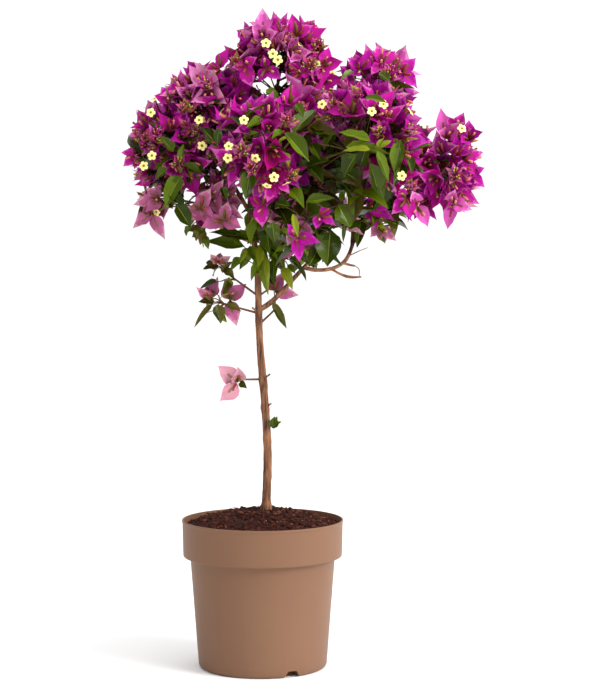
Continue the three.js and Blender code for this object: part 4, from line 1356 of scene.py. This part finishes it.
def grow_mass(mass):
    draw, rng = seeded(mass.seed), random.Random(mass.seed)
    bough = next((name for name, limb in LIMBS.items() if limb[2] == mass.name), None)
    heart = mass.centre
    if bough:
        start, heading = LIMB_LINES[bough].at(1), LIMB_LINES[bough].heading(1)
    else:
        start = Vector(mass.start)
        heading = (heart - start).normalized()
    stem = Line([start, start.lerp(heart, 0.5) + heading * 5, heart], 6)
    thick = LIMBS[bough][1] if bough else 1.3
    tube(TWIGS, stem, taper(thick, thick - 0.4), 7, 14, "brown")
    joints = [(stem.at(share), stem.heading(share)) for share in (0.4, 0.7, 1)]
    for table, add_lone in LONE_KINDS:
        for row in table.get(mass.name, ()):
            add_lone(rng, mass, joints, *row)

    turn = TURN * draw()
    count = round(mass.sprays * (GROWTH["finer"] if mass.sprays > SMALL_MASS else 1))
    for i, index in enumerate(rng.sample(range(count), count)):
        direction = spread_direction(index, count, turn)
        reach = mass.reach(direction)
        blocked = reach < 0.6 * mass.shell(direction)
        sunny = direction.z > SUNNY and mass.bloom > 0.8
        blooms = (sunny or draw() < mass.bloom) and not (blocked and rng.random() < 0.5)
        cluster = Cluster(rng, mass.size) if blooms else None
        for step in range(GROWTH["steps"]):
            depth = (GROWTH["outermost"] - GROWTH["inward"] * step) * reach
            end = heart + direction * depth
            line = twig_line(nearest_joint(joints, end), end)
            heading = (direction + line.heading(1) + UP * GROWTH["rise"]).normalized()
            if cluster:
                cluster.stand(end, heading)
                fits = cluster.fits(mass)
            else:
                tip = end + heading * 26 * mass.size
                fits = mass.level(tip) < 1.02 and not is_open(tip) and not is_open(end)
            if fits:
                break
        else:
            if cluster:
                continue
        if i > FIRST_TWIGS and any(is_open(line.at(share)) for share in (0.3, 0.5, 0.7, 0.9)):
            continue
        tube(TWIGS, line, taper(1.2, 0.7), 5, 8, "brown" if i < FIRST_TWIGS else "green")
        joints += [(line.at(spot), line.heading(spot)) for spot in (GROWTH["joint_at"], 0.9)]
        leaf_twig(rng, mass, line, 0.3, 0.75 if mass.bloom > 0.5 else 0.95)
        if cluster:
            cluster.grow(rng, mass, heading, pick_tone(rng, mass.look, end))
        else:
            leafy_tip(rng, mass, end, heading)
    if mass.name == HOLLOW_MASS:
        line_hollow(rng, mass, joints)


def make_foliage():
    for mass in MASS.values():
        grow_mass(mass)
    dress(TWIGS.piece("twigs"), "bark", *MASSES)
    dress(LEAVES.piece("leaves"), "leaves", *MASSES)
    dress(BRACTS.piece("bracts"), "bracts", *MASSES)
    dress(FLOWERS.piece("flowers"), "flowers", *MASSES)


# ---------------------------------------------------------------- stage


FLOOR_SIDE = 28
CROWN_AIM, PLANT_AIM = (0.03, 0, 0.58), (0.03, 0, 0.42)
CAMERA_DROP = math.radians(3.0777)  # below level
CAMERA_LENS = 100.70
STUDIO = {"base": 0.48, "right": 0.42, "behind": 0.58, "above": 1.02, "seen": 1.05}


def reckon(tree, value, *steps):
    """A chain of Math nodes; each step is an operation and its second value."""
    for operation, other in steps:
        node = add_node(tree, "Math")
        node.operation = operation
        tree.links.new(value, node.inputs[0])
        if isinstance(other, float):
            node.inputs[1].default_value = other
        else:
            tree.links.new(other, node.inputs[1])
        value = node.outputs[0]
    return value


def add_lamp(name, kind, place, aim, **traits):
    lamp = bpy.data.lights.new(name, kind)
    for trait, value in traits.items():
        setattr(lamp, trait, value)
    light = add_object(name, lamp)
    light.location = place
    light.rotation_euler = (Vector(aim) - Vector(place)).to_track_quat("-Z", "Y").to_euler()


def make_stage():
    """Floor, world, lamps and camera, in metres."""
    half = FLOOR_SIDE / 2 / MM
    corners = [(-half, -half, 0), (half, -half, 0), (half, half, 0), (-half, half, 0)]
    pale = surface("floor_pale", 0.8, 0.2, [(245.81, 245.81, 245.81)])
    make_piece("floor", corners, [(0, 1, 2, 3)], [pale])

    # Soft light all round, brightest from above, then from behind and the right, and
    # dimmest from the left. The camera sees it as plain white.
    world = bpy.data.worlds.new("studio")
    world.use_nodes = True
    tree = world.node_tree
    axes = add_node(tree, "SeparateXYZ")
    tree.links.new(add_node(tree, "TexCoord").outputs["Generated"], axes.inputs[0])
    right = reckon(tree, axes.outputs["X"], ("MULTIPLY", STUDIO["right"]))
    behind = reckon(
        tree, axes.outputs["Y"], ("MAXIMUM", 0.0), ("POWER", 3.0), ("MULTIPLY", STUDIO["behind"]))
    above = reckon(tree, axes.outputs["Z"], ("MAXIMUM", 0.0), ("MULTIPLY", STUDIO["above"]))
    to_camera = add_node(tree, "LightPath").outputs["Is Camera Ray"]
    seen = reckon(tree, to_camera, ("MULTIPLY", STUDIO["seen"]))
    total = reckon(
        tree, above, ("ADD", STUDIO["base"]), ("ADD", right), ("ADD", behind), ("MAXIMUM", seen))
    tree.links.new(total, tree.nodes["Background"].inputs["Strength"])
    tree.nodes["Background"].inputs["Color"].default_value = (1, 1, 1, 1)
    bpy.context.scene.world = world

    # Two soft cones on the crown alone, then a key and a top light on the whole plant.
    for name, place, cone, power in (
            ("fill", (-0.9, -2.2, 1.0), 18, 30), ("fill_left", (-2.2, -1.0, 0.3), 14, 220)):
        add_lamp(name, "SPOT", place, CROWN_AIM, energy=power, spot_size=math.radians(cone),
                 spot_blend=0.6, shadow_soft_size=0.5)
    for name, place, size, power in (
            ("key", (2.0, -1.3, 1.5), 1.2, 60), ("top", (0.5, -0.4, 2.4), 0.9, 14)):
        add_lamp(name, "AREA", place, PLANT_AIM, energy=power, shape="DISK", size=size)

    camera = add_object("camera", bpy.data.cameras.new("camera"))
    camera.location = EYE * MM
    camera.rotation_euler = (math.pi / 2 - CAMERA_DROP, 0, 0)
    camera.data.sensor_fit = "AUTO"
    camera.data.sensor_width = 36
    camera.data.lens = CAMERA_LENS
    bpy.context.scene.camera = camera
    bpy.context.scene.view_settings.view_transform = "Standard"


make_stage()
make_pot()
make_compost()
make_wood()
make_foliage()
